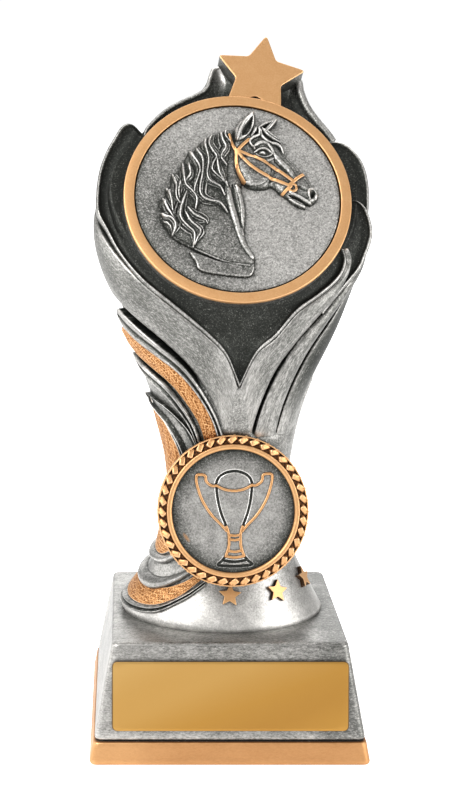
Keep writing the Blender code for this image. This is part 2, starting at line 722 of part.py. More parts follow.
def small_stars():
    made = []
    outline = star_outline(SMALL_STAR_RADIUS, SMALL_STAR_RADIUS * 0.48, 4)
    for k, (angle, height, roll) in enumerate(((2, 8.6, 4), (36, 8.6, 12), (71, 9.4, 8))):
        frame = skin_frame(angle, height) @ Matrix.Rotation(math.radians(-roll), 4, "Z")
        made.append(outline_solid(f"small_star_{k}", outline, -2.5, 1.1, frame))
    return made


def big_star():
    reach = RING_RADIUS + STAR_STAND
    frame = TOP_FRAME @ Matrix.Translation((0, reach, 0))
    outline = star_outline(STAR_RADIUS, STAR_RADIUS * 0.53, 3)
    return outline_solid("star", outline, -STAR_THICKNESS, 0.0, frame)


def casting():
    base = plinth()
    body = core()
    cut(body, slab_in_front("face_cut", TOP_FRAME, 4.7))
    body = settled(body)
    drum = turned("upper_ring", [
        (0, 0), (RING_RADIUS - 0.3, 0), (RING_RADIUS, -0.3), (RING_RADIUS, -3.0),
        (RING_RADIUS - 1.5, -3.4), (RING_RADIUS - 2.0, -9.0), (0, -9.0)], 44, TOP_FRAME)
    recess = turned("recess", [(0, 5), (RECESS_RADIUS, 5), (RECESS_RADIUS, -RECESS_DEPTH),
        (0, -RECESS_DEPTH)], 48, TOP_FRAME)
    star_hook = big_star()
    joined = [body] + petals() + ribbons()
    joined += [drum, star_hook, lower_ring()] + cup_emblem() + small_stars()
    unite(base, joined)
    cut(base, recess)
    return settled(base)


def plate():
    """Thin bare plate on the front wall of the plinth, leaning with it."""
    lean = math.atan2(PLINTH_TAPER, PLINTH_HEIGHT)
    up = Vector((0, math.sin(lean), math.cos(lean)))
    out = Vector((0, -math.cos(lean), math.sin(lean)))
    foot = Vector((0, -PLINTH_DEPTH / 2, 0)) + up * (BAND_HEIGHT / math.cos(lean) + PLATE_RISE)
    foot += out * FIT_GAP
    frame = placed(Vector((1, 0, 0)), up, out, foot)
    corner = 1.0
    outline = []
    for sx, sy, start in ((1, 0, -90), (1, 1, 0), (-1, 1, 90), (-1, 0, 180)):
        cx = sx * (PLATE_WIDTH / 2 - corner)
        cy = PLATE_HEIGHT - corner if sy else corner
        for step in range(4):
            angle = math.radians(start + 30 * step)
            outline.append((cx + corner * math.cos(angle), cy + corner * math.sin(angle)))
    made = outline_solid("plate", outline, 0.0, PLATE_THICKNESS, frame)
    return made


def medallion():
    """A thin disc with the horse standing out of it, glued into the upper ring."""
    front = -MEDALLION_SINK
    frame = LEVEL_FRAME
    radius = MEDALLION_DIAMETER / 2
    disc = turned("medallion", [
        (0, front), (radius - 0.3, front), (radius, front - 0.3),
        (radius, front - MEDALLION_THICKNESS), (0, front - MEDALLION_THICKNESS)], 64, frame)
    unite(disc, [relief(frame @ Matrix.Translation((0, 0, front)))])
    return settled(disc)


def relief(frame):
    """The horse as a closed sheet of heights whose flat back is sunk in the disc."""
    step = 0.5 * MEDALLION_DIAMETER / 50
    columns, rows = 84, 92
    xs = (np.arange(columns) - columns / 2 + 0.5) * step
    ys = (np.arange(rows) - rows / 2 + 1.5) * step
    x, y = np.meshgrid(xs, ys, indexing="ij")
    unit = MEDALLION_DIAMETER / 50
    z = np.maximum(horse_height(x / unit, y / unit), -0.25)
    z[0, :] = z[-1, :] = z[:, 0] = z[:, -1] = -0.25
    points = [(x[i, j], y[i, j], z[i, j]) for i in range(columns) for j in range(rows)]
    faces = []
    for i in range(columns - 1):
        for j in range(rows - 1):
            a = i * rows + j
            faces.append((a, a + rows, a + rows + 1, a + 1))
    edge = [i * rows for i in range(columns)] + [(columns - 1) * rows + j for j in range(1, rows)]
    edge += [i * rows + rows - 1 for i in range(columns - 2, -1, -1)]
    edge += list(range(rows - 2, 0, -1))
    base = len(points)
    points += [(points[k][0], points[k][1], -0.55) for k in edge]
    for k in range(len(edge)):
        n = (k + 1) % len(edge)
        faces.append((edge[k], base + k, base + n, edge[n]))
    faces.append(tuple(range(base, base + len(edge))))
    sheet = solid("relief", points, faces)
    inside = turned("relief_edge", [(0, 5), (MEDALLION_DIAMETER / 2 - 1, 5),
        (MEDALLION_DIAMETER / 2 - 1, -1), (0, -1)], 40, Matrix.Identity(4))
    trim = sheet.modifiers.new("Keep within the disc", "BOOLEAN")
    trim.operation = "INTERSECT"
    trim.solver = "MANIFOLD"
    trim.object = inside
    fewer = sheet.modifiers.new("Fewer faces", "DECIMATE")
    fewer.ratio = 0.065
    return baked(sheet, frame)


casting_look = material("casting_silver", (0.38, 0.38, 0.37), 0.38, 0.85)
plate_look = material("plate_gold", (0.62, 0.34, 0.09), 0.32, 0.9)
medallion_look = material("medallion_silver", (0.42, 0.42, 0.41), 0.36, 0.85)
finished(casting(), "trophy_casting", casting_look)
finished(plate(), "engraving_plate", plate_look)
finished(medallion(), "horse_medallion", medallion_look)
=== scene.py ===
import math

import bmesh
import bpy
import numpy as np
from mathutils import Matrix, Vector
from mathutils.bvhtree import BVHTree


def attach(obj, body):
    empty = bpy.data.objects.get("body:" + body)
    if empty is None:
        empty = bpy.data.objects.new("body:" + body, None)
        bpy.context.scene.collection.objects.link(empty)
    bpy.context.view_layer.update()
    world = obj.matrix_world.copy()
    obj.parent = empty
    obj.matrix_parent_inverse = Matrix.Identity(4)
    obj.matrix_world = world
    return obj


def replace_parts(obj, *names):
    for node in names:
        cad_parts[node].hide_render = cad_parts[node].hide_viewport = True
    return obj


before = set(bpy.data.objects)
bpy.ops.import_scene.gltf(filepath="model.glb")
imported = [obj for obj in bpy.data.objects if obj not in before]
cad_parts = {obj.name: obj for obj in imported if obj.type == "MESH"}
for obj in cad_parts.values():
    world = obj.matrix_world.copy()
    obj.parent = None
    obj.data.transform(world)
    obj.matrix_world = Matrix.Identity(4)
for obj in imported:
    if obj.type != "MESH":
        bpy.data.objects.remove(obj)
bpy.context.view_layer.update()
MM = 0.001

# Sizes of the casting in millimetres, with the plinth's underside at height 0.
PLINTH_WIDTH = 70.0
PLINTH_DEPTH = 66.0
PLINTH_HEIGHT = 30.0
PLINTH_TAPER = 5.6
PLINTH_CORNER = 1.6
BAND_HEIGHT = 5.7
BAND_STEP = 0.5
PLATE_WIDTH = 58.6
PLATE_HEIGHT = 17.3
PLATE_THICKNESS = 0.8
PLATE_RISE = 3.1
FIT_GAP = 0.3
MEDALLION_RADIUS = 25.0
MEDALLION_SINK = 0.3
MEDALLION_THICKNESS = 1.0
RECESS_RADIUS = MEDALLION_RADIUS + FIT_GAP
RECESS_DEPTH = MEDALLION_THICKNESS + FIT_GAP + MEDALLION_SINK
RING_RADIUS = RECESS_RADIUS + 2.6
CUP_RADIUS = 15.2
CUP_RECESS = 1.2
CUP_BAND = 16.7
CUP_RING_RADIUS = 18.8
ROPE_STRANDS = 40
ROPE_BAR = (2.55, 1.45, 1.3)
ROPE_SLANT = -0.9
ROPE_LEAN = 0.34
ROPE_SINK = 1.15
STAR_RADIUS = 11.4
STAR_THICKNESS = 5.4
SMALL_STAR_RADIUS = 2.95
PETAL_WALL = 2.2
FLUSH = 0.03
RIBBON_WALL = 3.0
AXIS_HOLE = 0.004
MERGE_DISTANCE = 0.01

# Body outline above the plinth: height, left, right, front and back reach.
BODY = np.array(
    (
        (0, -27.1, 25.9, 20.6, 20.6),
        (2.4, -26.4, 24.6, 19.6, 19.6),
        (5.2, -24.6, 23.1, 18.2, 18.2),
        (9, -21.7, 21.0, 16.5, 16.5),
        (14, -18.7, 18.6, 14.9, 14.9),
        (20, -16.6, 16.9, 13.8, 13.8),
        (30, -15.0, 15.8, 13.0, 13.0),
        (40, -15.2, 16.6, 13.2, 13.0),
        (51, -17.6, 18.5, 14.4, 13.8),
        (60, -20.4, 21.3, 16.2, 15.0),
        (72, -25.4, 26.3, 18.6, 17.0),
        (82, -29.2, 29.8, 20.4, 18.6),
        (92, -32.0, 33.3, 21.6, 19.8),
        (100, -33.2, 34.6, 22.0, 20.4),
        (108, -33.4, 34.5, 21.6, 20.6),
        (116, -31.6, 34.4, 20.0, 20.4),
        (122, -28.6, 31.6, 17.6, 19.6),
        (130, -22.0, 26.0, 13.0, 17.6),
        (138, -10.0, 16.0, 8.0, 14.0),
    )
)


# Node trees, for materials, for the room and for the rope edge.
class Wire:
    """A socket of a node tree that takes Python's operators."""

    def __init__(self, tree, socket):
        self.tree = tree
        self.socket = socket

    def math(self, operation, first, second, clamp=False):
        settings = dict(operation=operation, use_clamp=clamp)
        return self.tree.add("ShaderNodeMath", settings, [first, second])

    def __add__(self, other):
        return self.math("ADD", self, other)

    def __radd__(self, other):
        return self.math("ADD", other, self)

    def __sub__(self, other):
        return self.math("SUBTRACT", self, other)

    def __rsub__(self, other):
        return self.math("SUBTRACT", other, self)

    def __mul__(self, other):
        return self.math("MULTIPLY", self, other)

    def __rmul__(self, other):
        return self.math("MULTIPLY", other, self)

    def __truediv__(self, other):
        return self.math("DIVIDE", self, other)

    def __rtruediv__(self, other):
        return self.math("DIVIDE", other, self)

    def clamped(self):
        return self.math("ADD", self, 0.0, clamp=True)


class Tree:
    """A node tree whose nodes all come from one method."""

    def __init__(self, nodes_and_links):
        self.nodes = nodes_and_links.nodes
        self.links = nodes_and_links.links
        self.nodes.clear()

    def add(self, kind, settings=None, values=(), output=0):
        """A node of a type with its settings, then its inputs. Gives the chosen output."""
        node = self.nodes.new(kind)
        for key, value in (settings or {}).items():
            if key == "stops":
                self.set_stops(node.color_ramp, value)
            else:
                setattr(node, key, value)
        pairs = values.items() if isinstance(values, dict) else enumerate(values)
        for key, value in pairs:
            if isinstance(value, Wire):
                self.links.new(value.socket, node.inputs[key])
            else:
                node.inputs[key].default_value = value
        return Wire(self, node.outputs[output]) if node.outputs else None

    def set_stops(self, ramp, stops):
        while len(ramp.elements) < len(stops):
            ramp.elements.new(0.5)
        for element, (place, colour) in zip(ramp.elements, stops):
            element.position = place
            element.color = (*colour, 1)

    def outputs_of(self, wire):
        """Every output of the node that a wire comes from."""
        return [Wire(self, socket) for socket in wire.socket.node.outputs]

    def attribute(self, name, output="Fac"):
        return self.add("ShaderNodeAttribute", dict(attribute_name=name), output=output)

    def noise(self, vector, scale, detail=4.0, roughness=0.6):
        values = {"Vector": vector, "Scale": scale, "Detail": detail, "Roughness": roughness}
        return self.add("ShaderNodeTexNoise", None, values)

    def ramp(self, factor, stops):
        return self.add("ShaderNodeValToRGB", dict(stops=stops), [factor])

    def mixed(self, factor, first, second):
        """A colour between two, each a wire or a plain colour."""
        first, second = (v if isinstance(v, Wire) else (*v, 1) for v in (first, second))
        values = {0: factor, 6: first, 7: second}
        return self.add("ShaderNodeMix", dict(data_type="RGBA"), values, output=2)

    def bumped(self, height, strength, distance):
        values = {"Height": height, "Strength": strength, "Distance": distance}
        return self.add("ShaderNodeBump", None, values)


class Shader(Tree):
    """The tree of a new material."""

    def __init__(self, name):
        self.material = bpy.data.materials.new(name)
        self.material.use_nodes = True
        super().__init__(self.material.node_tree)

    def finish(self, **inputs):
        values = {key.replace("_", " "): value for key, value in inputs.items()}
        surface = self.add("ShaderNodeBsdfPrincipled", None, values)
        self.add("ShaderNodeOutputMaterial", None, {"Surface": surface})
        return self.material


# Curves and the skin of the body.
def ease(t):
    """From 0 to 1 with a soft start and a soft end."""
    t = np.clip(t, 0.0, 1.0)
    return t * t * (3 - 2 * t)


def curve_at(points, t):
    """Points of a smooth line through the given ones, at each t from 0 to 1."""
    points = np.asarray(points, float)
    last = len(points) - 1
    padded = np.vstack([2 * points[0] - points[1], points, 2 * points[-1] - points[-2]])
    at = np.clip(t, 0.0, 1.0) * last
    i = np.minimum(at.astype(int), last - 1)
    u = (at - i)[:, None]
    p0, p1, p2, p3 = (padded[i + k] for k in range(4))
    third = 3 * (p1 - p2) + p3 - p0
    return p1 + 0.5 * u * (p2 - p0 + u * (2 * p0 - 5 * p1 + 4 * p2 - p3 + u * third))


def smooth_line(points, closed=False, share=5):
    """Points along a smooth line, a share of them for each of the given ones."""
    points = np.asarray(points, float)
    if closed:
        count = len(points)
        looped = np.vstack([points[-1:], points, points[:2]])
        return curve_at(looped, (1 + np.arange(share * count) / share) / (count + 2))
    count = share * (len(points) - 1)
    return curve_at(points, np.arange(count + 1) / count)


def body_reach(height):
    """Left, right, front and back reach of the body at each height above the plinth."""
    rows = BODY[:, 0]
    height = np.clip(height, rows[0], rows[-1])
    i = np.clip(np.searchsorted(rows, height, side="right") - 1, 0, len(rows) - 2)
    before, after = np.maximum(i - 1, 0), np.minimum(i + 2, len(rows) - 1)
    span = (rows[i + 1] - rows[i])[..., None]
    t = (height - rows[i])[..., None] / span
    p1, p2 = BODY[i, 1:], BODY[i + 1, 1:]
    m1 = (p2 - BODY[before, 1:]) / (rows[i + 1] - rows[before])[..., None] * span
    m2 = (BODY[after, 1:] - p1) / (rows[after] - rows[i])[..., None] * span
    return (
        p1 * (1 + 2 * t) * (1 - t) ** 2
        + m1 * t * (1 - t) ** 2
        + p2 * t * t * (3 - 2 * t)
        + m2 * t * t * (t - 1)
    )


def skin(angle, height, lift):
    """Points of the body. Angles are in degrees round from the front towards the right."""
    angle, height, lift = np.broadcast_arrays(angle, height, lift)
    left, right, front, back = np.moveaxis(body_reach(height.astype(float)), -1, 0)
    s, c = np.sin(np.radians(angle)), np.cos(np.radians(angle))
    deep = np.where(c > 0, front, back)
    half = (right - left) / 2
    nx, ny = s / half, -c / deep
    size = np.hypot(nx, ny)
    x = (left + right) / 2 + half * s + lift * nx / size
    y = -deep * c + lift * ny / size
    return np.stack([x, y, PLINTH_HEIGHT + height], axis=-1)


def placed(x_axis, y_axis, z_axis, origin):
    found = np.eye(4)
    found[:3, 0], found[:3, 1], found[:3, 2], found[:3, 3] = x_axis, y_axis, z_axis, origin
    return found


def skin_frame(angle, height):
    """Local x along the skin to the right, y up the skin, z out of it."""
    middle = skin(angle, height, 0.0)
    across = skin(angle + 1, height, 0.0) - skin(angle - 1, height, 0.0)
    across /= np.linalg.norm(across)
    up = skin(angle, height + 0.5, 0.0) - skin(angle, height - 0.5, 0.0)
    out = np.cross(across, up)
    out /= np.linalg.norm(out)
    return placed(across, np.cross(out, across), out, middle)


def face_frame(x, forward, rise, tilt, turn, roll):
    """Local x right, y up and z out of a round face on the body that leans back by the tilt."""
    tilt, turn, roll = (math.radians(v) for v in (tilt, turn, roll))
    flat = math.cos(tilt)
    out = np.array((math.sin(turn) * flat, -math.cos(turn) * flat, math.sin(tilt)))
    right = np.array((math.cos(turn), math.sin(turn), 0.0))
    x_axis = right * math.cos(roll) - np.cross(out, right) * math.sin(roll)
    return placed(x_axis, np.cross(out, x_axis), out, (x, -forward, PLINTH_HEIGHT + rise))


def turned_by(degrees):
    found = np.eye(4)
    s, c = math.sin(math.radians(degrees)), math.cos(math.radians(degrees))
    found[:2, :2] = ((c, -s), (s, c))
    return found


def moved_by(x, y, z):
    found = np.eye(4)
    found[:3, 3] = (x, y, z)
    return found


def into(place, points):
    return points @ place[:3, :3].T + place[:3, 3]


# The upper face, the same face without its roll, in which the horse stands level, and the lower face.
UPPER_SEAT = dict(x=1.5, forward=8.0, rise=108.1, tilt=32.0, turn=3.0)
TOP_FACE = face_frame(roll=12.0, **UPPER_SEAT)
LEVEL_FACE = face_frame(roll=0.0, **UPPER_SEAT)
CUP_FACE = face_frame(x=0.8, forward=20.0, rise=31.8, tilt=12.0, turn=3.0, roll=0.0)


# Meshes. A shell holds points in millimetres, faces, and what its paint needs at each point.
class Shell:
    # soot darkens the paint: patina in hollows and painted shade above 0, painted shine below 0.
    def __init__(self, points, faces, gilt=0.0, soot=0.0, crisp=1.0, brushing=None):
        self.points = np.asarray(points, float).reshape(-1, 3)
        self.faces = faces
        count = len(self.points)
        self.gilt = np.broadcast_to(np.asarray(gilt, float).reshape(-1), (count,))
        self.soot = np.broadcast_to(np.asarray(soot, float).reshape(-1), (count,))
        self.crisp = np.broadcast_to(np.asarray(crisp, float).reshape(-1), (count,))
        self.brushing = self.points if brushing is None else np.asarray(brushing, float).reshape(-1, 3)

    def into(self, place):
        self.points = into(place, self.points)
        return self


def wall_faces(rows, columns):
    """Quads between rows of points, each row closed on itself."""
    i, j = np.meshgrid(np.arange(rows - 1), np.arange(columns), indexing="ij")
    k = (j + 1) % columns
    here, above = i * columns, (i + 1) * columns
    quads = np.stack([here + j, here + k, above + k, above + j], -1)
    return [tuple(q) for q in quads.reshape(-1, 4).tolist()]


def lofted(rings, **paint):
    """A closed body through rings of points, with a flat cap on each end."""
    rows, columns = rings.shape[:2]
    faces = wall_faces(rows, columns)
    faces.append(tuple(range(columns))[::-1])
    faces.append(tuple(range((rows - 1) * columns, rows * columns)))
    return Shell(rings, faces, **paint)


def lathe(profile, steps, place, gilt=0.0, soot=0.0):
    """A turned body from (radius, height) points, the first and last of them on the axis."""
    profile = np.asarray(profile, float)
    angle = 2 * math.pi * np.arange(steps) / steps
    radius = np.maximum(profile[:, 0], AXIS_HOLE)[:, None]
    height = np.broadcast_to(profile[:, 1][:, None], (len(profile), steps))
    rings = np.stack([radius * np.cos(angle), radius * np.sin(angle), height], -1)
    spread = [np.repeat(np.broadcast_to(v, len(profile)), steps) for v in (gilt, soot)]
    flat = rings.reshape(-1, 3)
    return lofted(rings, gilt=spread[0], soot=spread[1], brushing=flat).into(place)


def corner_arc(before, corner, after, cut, steps):
    """Points of a small arc that starts and ends a cut away from a corner."""
    first, second = before - corner, after - corner
    start = corner + first / np.linalg.norm(first) * cut
    end = corner + second / np.linalg.norm(second) * cut
    shares = [k / steps for k in range(steps + 1)]
    return [(1 - t) ** 2 * start + 2 * t * (1 - t) * corner + t * t * end for t in shares]


def rounded(profile, reach, steps=3):
    """A line whose inner corners are cut by small arcs that start at the given reach from them."""
    profile = [np.asarray(p, float) for p in profile]
    found = [profile[0]]
    for before, corner, after in zip(profile, profile[1:], profile[2:]):
        shortest = min(np.linalg.norm(before - corner), np.linalg.norm(after - corner))
        cut = min(reach, 0.45 * shortest)
        found += corner_arc(before, corner, after, cut, steps)
    found.append(profile[-1])
    return np.array(found)


def rounded_loop(corners, reach, steps=4):
    """A closed outline whose corners are cut by arcs, each with its own reach."""
    corners = np.asarray(corners, float)
    reach = np.broadcast_to(reach, len(corners))
    found = []
    before, after = np.roll(corners, 1, 0), np.roll(corners, -1, 0)
    for k, cut in enumerate(reach):
        found += corner_arc(before[k], corners[k], after[k], cut, steps)
    return np.array(found)


def evenly(outline, spacing):
    """The same closed outline with points about a spacing apart."""
    loop = np.vstack([outline, outline[:1]])
    away = np.concatenate([[0], np.cumsum(np.linalg.norm(np.diff(loop, axis=0), axis=1))])
    count = max(8, round(away[-1] / spacing))
    at = np.arange(count) / count * away[-1]
    return np.stack([np.interp(at, away, loop[:, k]) for k in range(2)], -1)


def store(mesh, key, values):
    """Keep a number or a vector for each point of a mesh under a name that the paint reads."""
    kind, field = ("FLOAT_VECTOR", "vector") if values.ndim > 1 else ("FLOAT", "value")
    held = mesh.attributes.new(key, kind, "POINT")
    held.data.foreach_set(field, values.astype(np.float32).reshape(-1))


PIECES = []


def piece(name, shells, look):
    """One object at the origin from shells, riding on the trophy's only body."""
    points = np.concatenate([shell.points for shell in shells]) * MM
    faces = []
    start = 0
    for shell in shells:
        faces += [tuple(v + start for v in face) for face in shell.faces]
        start += len(shell.points)
    mesh = bpy.data.meshes.new(name)
    mesh.from_pydata(points.tolist(), [], faces)
    for key in ("gilt", "soot", "crisp"):
        values = np.concatenate([getattr(shell, key) for shell in shells])
        store(mesh, key, values)
    store(mesh, "brushing", np.concatenate([shell.brushing for shell in shells]))
    sheet = bmesh.new()
    sheet.from_mesh(mesh)
    bmesh.ops.remove_doubles(sheet, verts=sheet.verts, dist=MERGE_DISTANCE * MM)
    bmesh.ops.recalc_face_normals(sheet, faces=sheet.faces)
    sheet.to_mesh(mesh)
    sheet.free()
    mesh.shade_smooth()
    mesh.materials.append(look)
    made = bpy.data.objects.new(name, mesh)
    bpy.context.scene.collection.objects.link(made)
    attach(made, "root")
    PIECES.append(made)
    return made


# Blades: petals, plumes and ribbons between two edges of (angle, height) points.
def blade_section(fill, turn):
    """Points round a blade's section: share across, rounding across, drop in rounding and in wall."""
    across = np.linspace(0, 1, fill)
    bend = np.linspace(0, math.pi / 2, turn)
    rows = [(f, 1 - 2 * f, 0, 0) for f in across]
    rows += [(1, math.sin(a) - 1, 1 - math.cos(a), 0) for a in bend[1:]]
    rows += [(1, math.cos(a) - 1, math.sin(a) - 1, 1) for a in bend[:-1]]
    rows += [(f, 1 - 2 * f, 0, 1) for f in across[::-1]]
    rows += [(0, 1 - math.sin(a), math.cos(a) - 1, 1) for a in bend[1:]]
    rows += [(0, 1 - math.cos(a), 1 - math.sin(a), 0) for a in bend[:-1]]
    return np.array(rows)


# Darkening of a blade's parts: painted shade on the underside and the sides, patina in the groove,
# darker gold, and the dents of the gilded ones.
UNDERSIDE_SHADE = 0.95
ROUNDING_SHADE = 0.35
GROOVE_SOOT = 0.6
GOLD_SOOT = 0.26
DENT_SOOT = 0.45
DENT_DEPTH = 0.24
DENT_MARGIN = 0.8


def blade(
    first, second, low, high, wall=PETAL_WALL, start=0.2, curl=0.0, power=0.7, rim=0.45, tip=3.0,
    gold=False, groove=0.0, soot=0.0, along=120, across=26,
):
    """A closed curved blade that grows out of the skin, with rounded edges and a round tip."""
    fine = 1.0
    along, across = int(along * fine), int(across * (0.5 + 0.5 * fine))
    section = blade_section(across, 4)
    reach = np.linspace(0, 1, 41)
    spine = skin(*((curve_at(first, reach) + curve_at(second, reach)) / 2).T, 0.0)
    length = np.linalg.norm(np.diff(spine, axis=0), axis=1).sum()
    t = 1 - (1 - np.linspace(0, 1, along + 1)) ** 1.25
    a, b = curve_at(first, t), curve_at(second, t)
    width = np.linalg.norm(skin(a[:, 0], a[:, 1], 0.0) - skin(b[:, 0], b[:, 1], 0.0), axis=1)
    left = np.clip((1 - t) * length / tip, 0, 1)
    narrow = np.sqrt(np.clip(1 - (1 - left) ** 2, 1e-6, 1))[:, None]
    grow = ease(t / start)[:, None] if start else np.ones((len(t), 1))
    rounding = (rim * np.minimum(1, width / 2.5))[:, None] * narrow * np.maximum(grow, 0.02)
    share = np.clip(rounding / np.maximum(width, 0.3)[:, None], 0, 0.35)
    u = section[:, 0] + section[:, 1] * share
    middle_share = np.clip(u, 0, 1)
    top = low + (high - low) * np.sin(math.pi * middle_share) ** power
    cut = np.exp(-(((middle_share - 0.5) / 0.17) ** 2))
    sunk_ends = 0.3 * np.clip(1 - t / 0.04, 0, 1)[:, None] ** 2
    flush = FLUSH - 0.3 * abs(2 * middle_share - 1) ** 6 - sunk_ends
    top = flush + (top - groove * cut - flush) * grow + curl * ease((t - 0.6) / 0.4)[:, None]
    thick = wall * (0.25 + 0.75 * narrow)
    on_top = (section[:, 3] == 0) & (section[:, 2] == 0)
    s = (t * length)[:, None] + 0 * u
    w = width[:, None] * (u - 0.5)
    # Painted shade over the top face, by the amount given for each blade.
    top_shade = soot * on_top * grow * np.sin(math.pi * middle_share) ** 0.6
    below = UNDERSIDE_SHADE * (section[:, 3] == 1) + ROUNDING_SHADE * (section[:, 2] == 1)
    dark = below + top_shade + 0 * u
    if groove:
        dark = np.maximum(dark, GROOVE_SOOT * on_top * cut)
    if gold:
        inside_rims = np.clip((0.5 - abs(u - 0.5)) * width[:, None] / DENT_MARGIN, 0, 1)
        dents = hammered(s, w) * inside_rims * on_top
        top = top - DENT_DEPTH * dents
        dark = dark + (GOLD_SOOT + DENT_SOOT * dents) * on_top
    lift = top - section[:, 2] * rounding - section[:, 3] * thick
    middle = (a + b) / 2
    edge_a = middle[:, None, :] + (a - middle)[:, None, :] * narrow[..., None]
    edge_b = middle[:, None, :] + (b - middle)[:, None, :] * narrow[..., None]
    spot = edge_a + (edge_b - edge_a) * u[..., None]
    rings = skin(spot[..., 0], spot[..., 1], lift)
    gilt = 0 * u + (on_top if gold else 0.0)
    brushing = np.stack([s * 0.45, w, 0 * s + first[0][0]], -1)
    return lofted(rings, gilt=gilt, soot=dark, crisp=0 * u + grow, brushing=brushing)


def cells(x, y, size, seed):
    """Distance to the nearest of scattered points, one in each cell of a grid, over the cell size."""
    x, y = x / size, y / size
    i, j = np.floor(x), np.floor(y)
    near = np.full(x.shape, 9.0)
    for di in (-1, 0, 1):
        for dj in (-1, 0, 1):
            ci, cj = i + di, j + dj
            px = ci + 0.5 + 0.38 * np.sin(ci * 127.1 + cj * 311.7 + seed)
            py = cj + 0.5 + 0.38 * np.sin(ci * 269.5 + cj * 183.3 + 2 * seed)
            near = np.minimum(near, np.hypot(x - px, y - py))
    return near


def hammered(x, y):
    """Share of depth, from 0 to 1, of the uneven small dents that cover the gilded ribbons."""
    uneven = np.sin(1.3 * x + 2.1 * y) * 0.35 + 0.65
    wide = np.clip(1.25 - 1.9 * cells(x, y, 0.8, 1.7), 0, 1) * uneven
    small = np.clip(0.8 - 1.7 * cells(x + 3, y + 5, 0.5, 4.1), 0, 1)
    return np.clip(0.75 * wide + 0.7 * small, 0, 1)


# Each petal or plume between its two edges, given as angle and height on the skin.
PETALS = {
    "petal_left": dict(
        first=(
            (5, 60), (-4, 70), (-13, 75), (-29, 82), (-45, 88), (-60, 94), (-76, 99.5), (-94, 104),
            (-106, 108), (-114, 112), (-116, 115),
        ),
        second=(
            (-4, 46), (-13, 57), (-26, 67), (-42, 74), (-62, 80), (-82, 85), (-102, 92), (-122, 99),
            (-136, 105), (-138, 111), (-128, 116),
        ),
        low=0.1, high=1.0, curl=-0.9, tip=6.0, soot=0.3,
    ),
    "petal_right_low": dict(
        first=(
            (3, 60), (12, 70.5), (22, 75), (32, 81), (43, 84.5), (51, 87.2), (56, 90), (57, 93),
            (53, 95.8),
        ),
        second=(
            (15, 48), (20.5, 58), (27, 67), (36, 73.5), (46, 79), (55, 83.6), (60.5, 88.5), (61, 93),
            (56, 96.2),
        ),
        low=0.0, high=1.0, curl=-0.9, soot=0.25,
    ),
    "petal_right_mid": dict(
        first=(
            (18.5, 48), (25.5, 62), (36.5, 73.5), (50.5, 80), (62, 85.5), (75, 90.7), (86, 95.5),
            (96, 99), (104, 102.5),
        ),
        second=(
            (40, 48), (41, 58), (46, 69), (56, 77), (70, 84), (91, 91), (107, 97), (114, 101),
            (114, 104),
        ),
        low=0.0, high=0.9, curl=-0.9, tip=3.0, soot=0.25,
    ),
    "petal_right_high": dict(
        first=(
            (41, 48), (44.5, 60), (51, 71), (64, 79), (79, 88), (92, 97), (102, 105), (107, 110),
            (111, 114), (114, 117),
        ),
        second=(
            (72, 46), (70, 60), (76, 70), (94, 80), (114, 90), (128, 99), (134, 106), (134, 111),
            (130, 115), (124, 118),
        ),
        low=0.0, high=0.4, curl=-2.4, tip=3.0, soot=0.95,
    ),
    "petal_back_left": dict(
        first=((-104, 44), (-100, 58), (-104, 72), (-112, 84), (-122, 96), (-132, 107), (-142, 116)),
        second=((-176, 44), (-176, 58), (-176, 72), (-174, 84), (-170, 96), (-164, 107), (-152, 117)),
        low=0.2, high=1.5, tip=5.0,
    ),
    "petal_back_right": dict(
        first=((182, 44), (182, 58), (180, 72), (176, 84), (172, 96), (164, 107), (150, 117)),
        second=((104, 44), (100, 58), (104, 72), (112, 84), (122, 96), (132, 107), (142, 116)),
        low=0.2, high=1.5, tip=5.0,
    ),
    "plume_back_right": dict(
        first=(
            (104, 84), (108, 96), (112, 106), (118, 114), (124, 119), (130, 123), (134, 126),
            (134, 128),
        ),
        second=(
            (168, 84), (172, 96), (172, 106), (172, 114), (168, 119), (162, 123), (152, 126),
            (144, 128),
        ),
        low=0.0, high=1.0, start=0.0,
    ),
    "plume_back_left": dict(
        first=(
            (-104, 84), (-106, 96), (-110, 106), (-118, 114), (-126, 120), (-134, 124), (-142, 127),
            (-150, 129),
        ),
        second=(
            (-170, 84), (-170, 96), (-170, 106), (-172, 114), (-174, 120), (-174, 124), (-172, 127),
            (-168, 129),
        ),
        low=0.0, high=1.0, start=0.0,
    ),
}

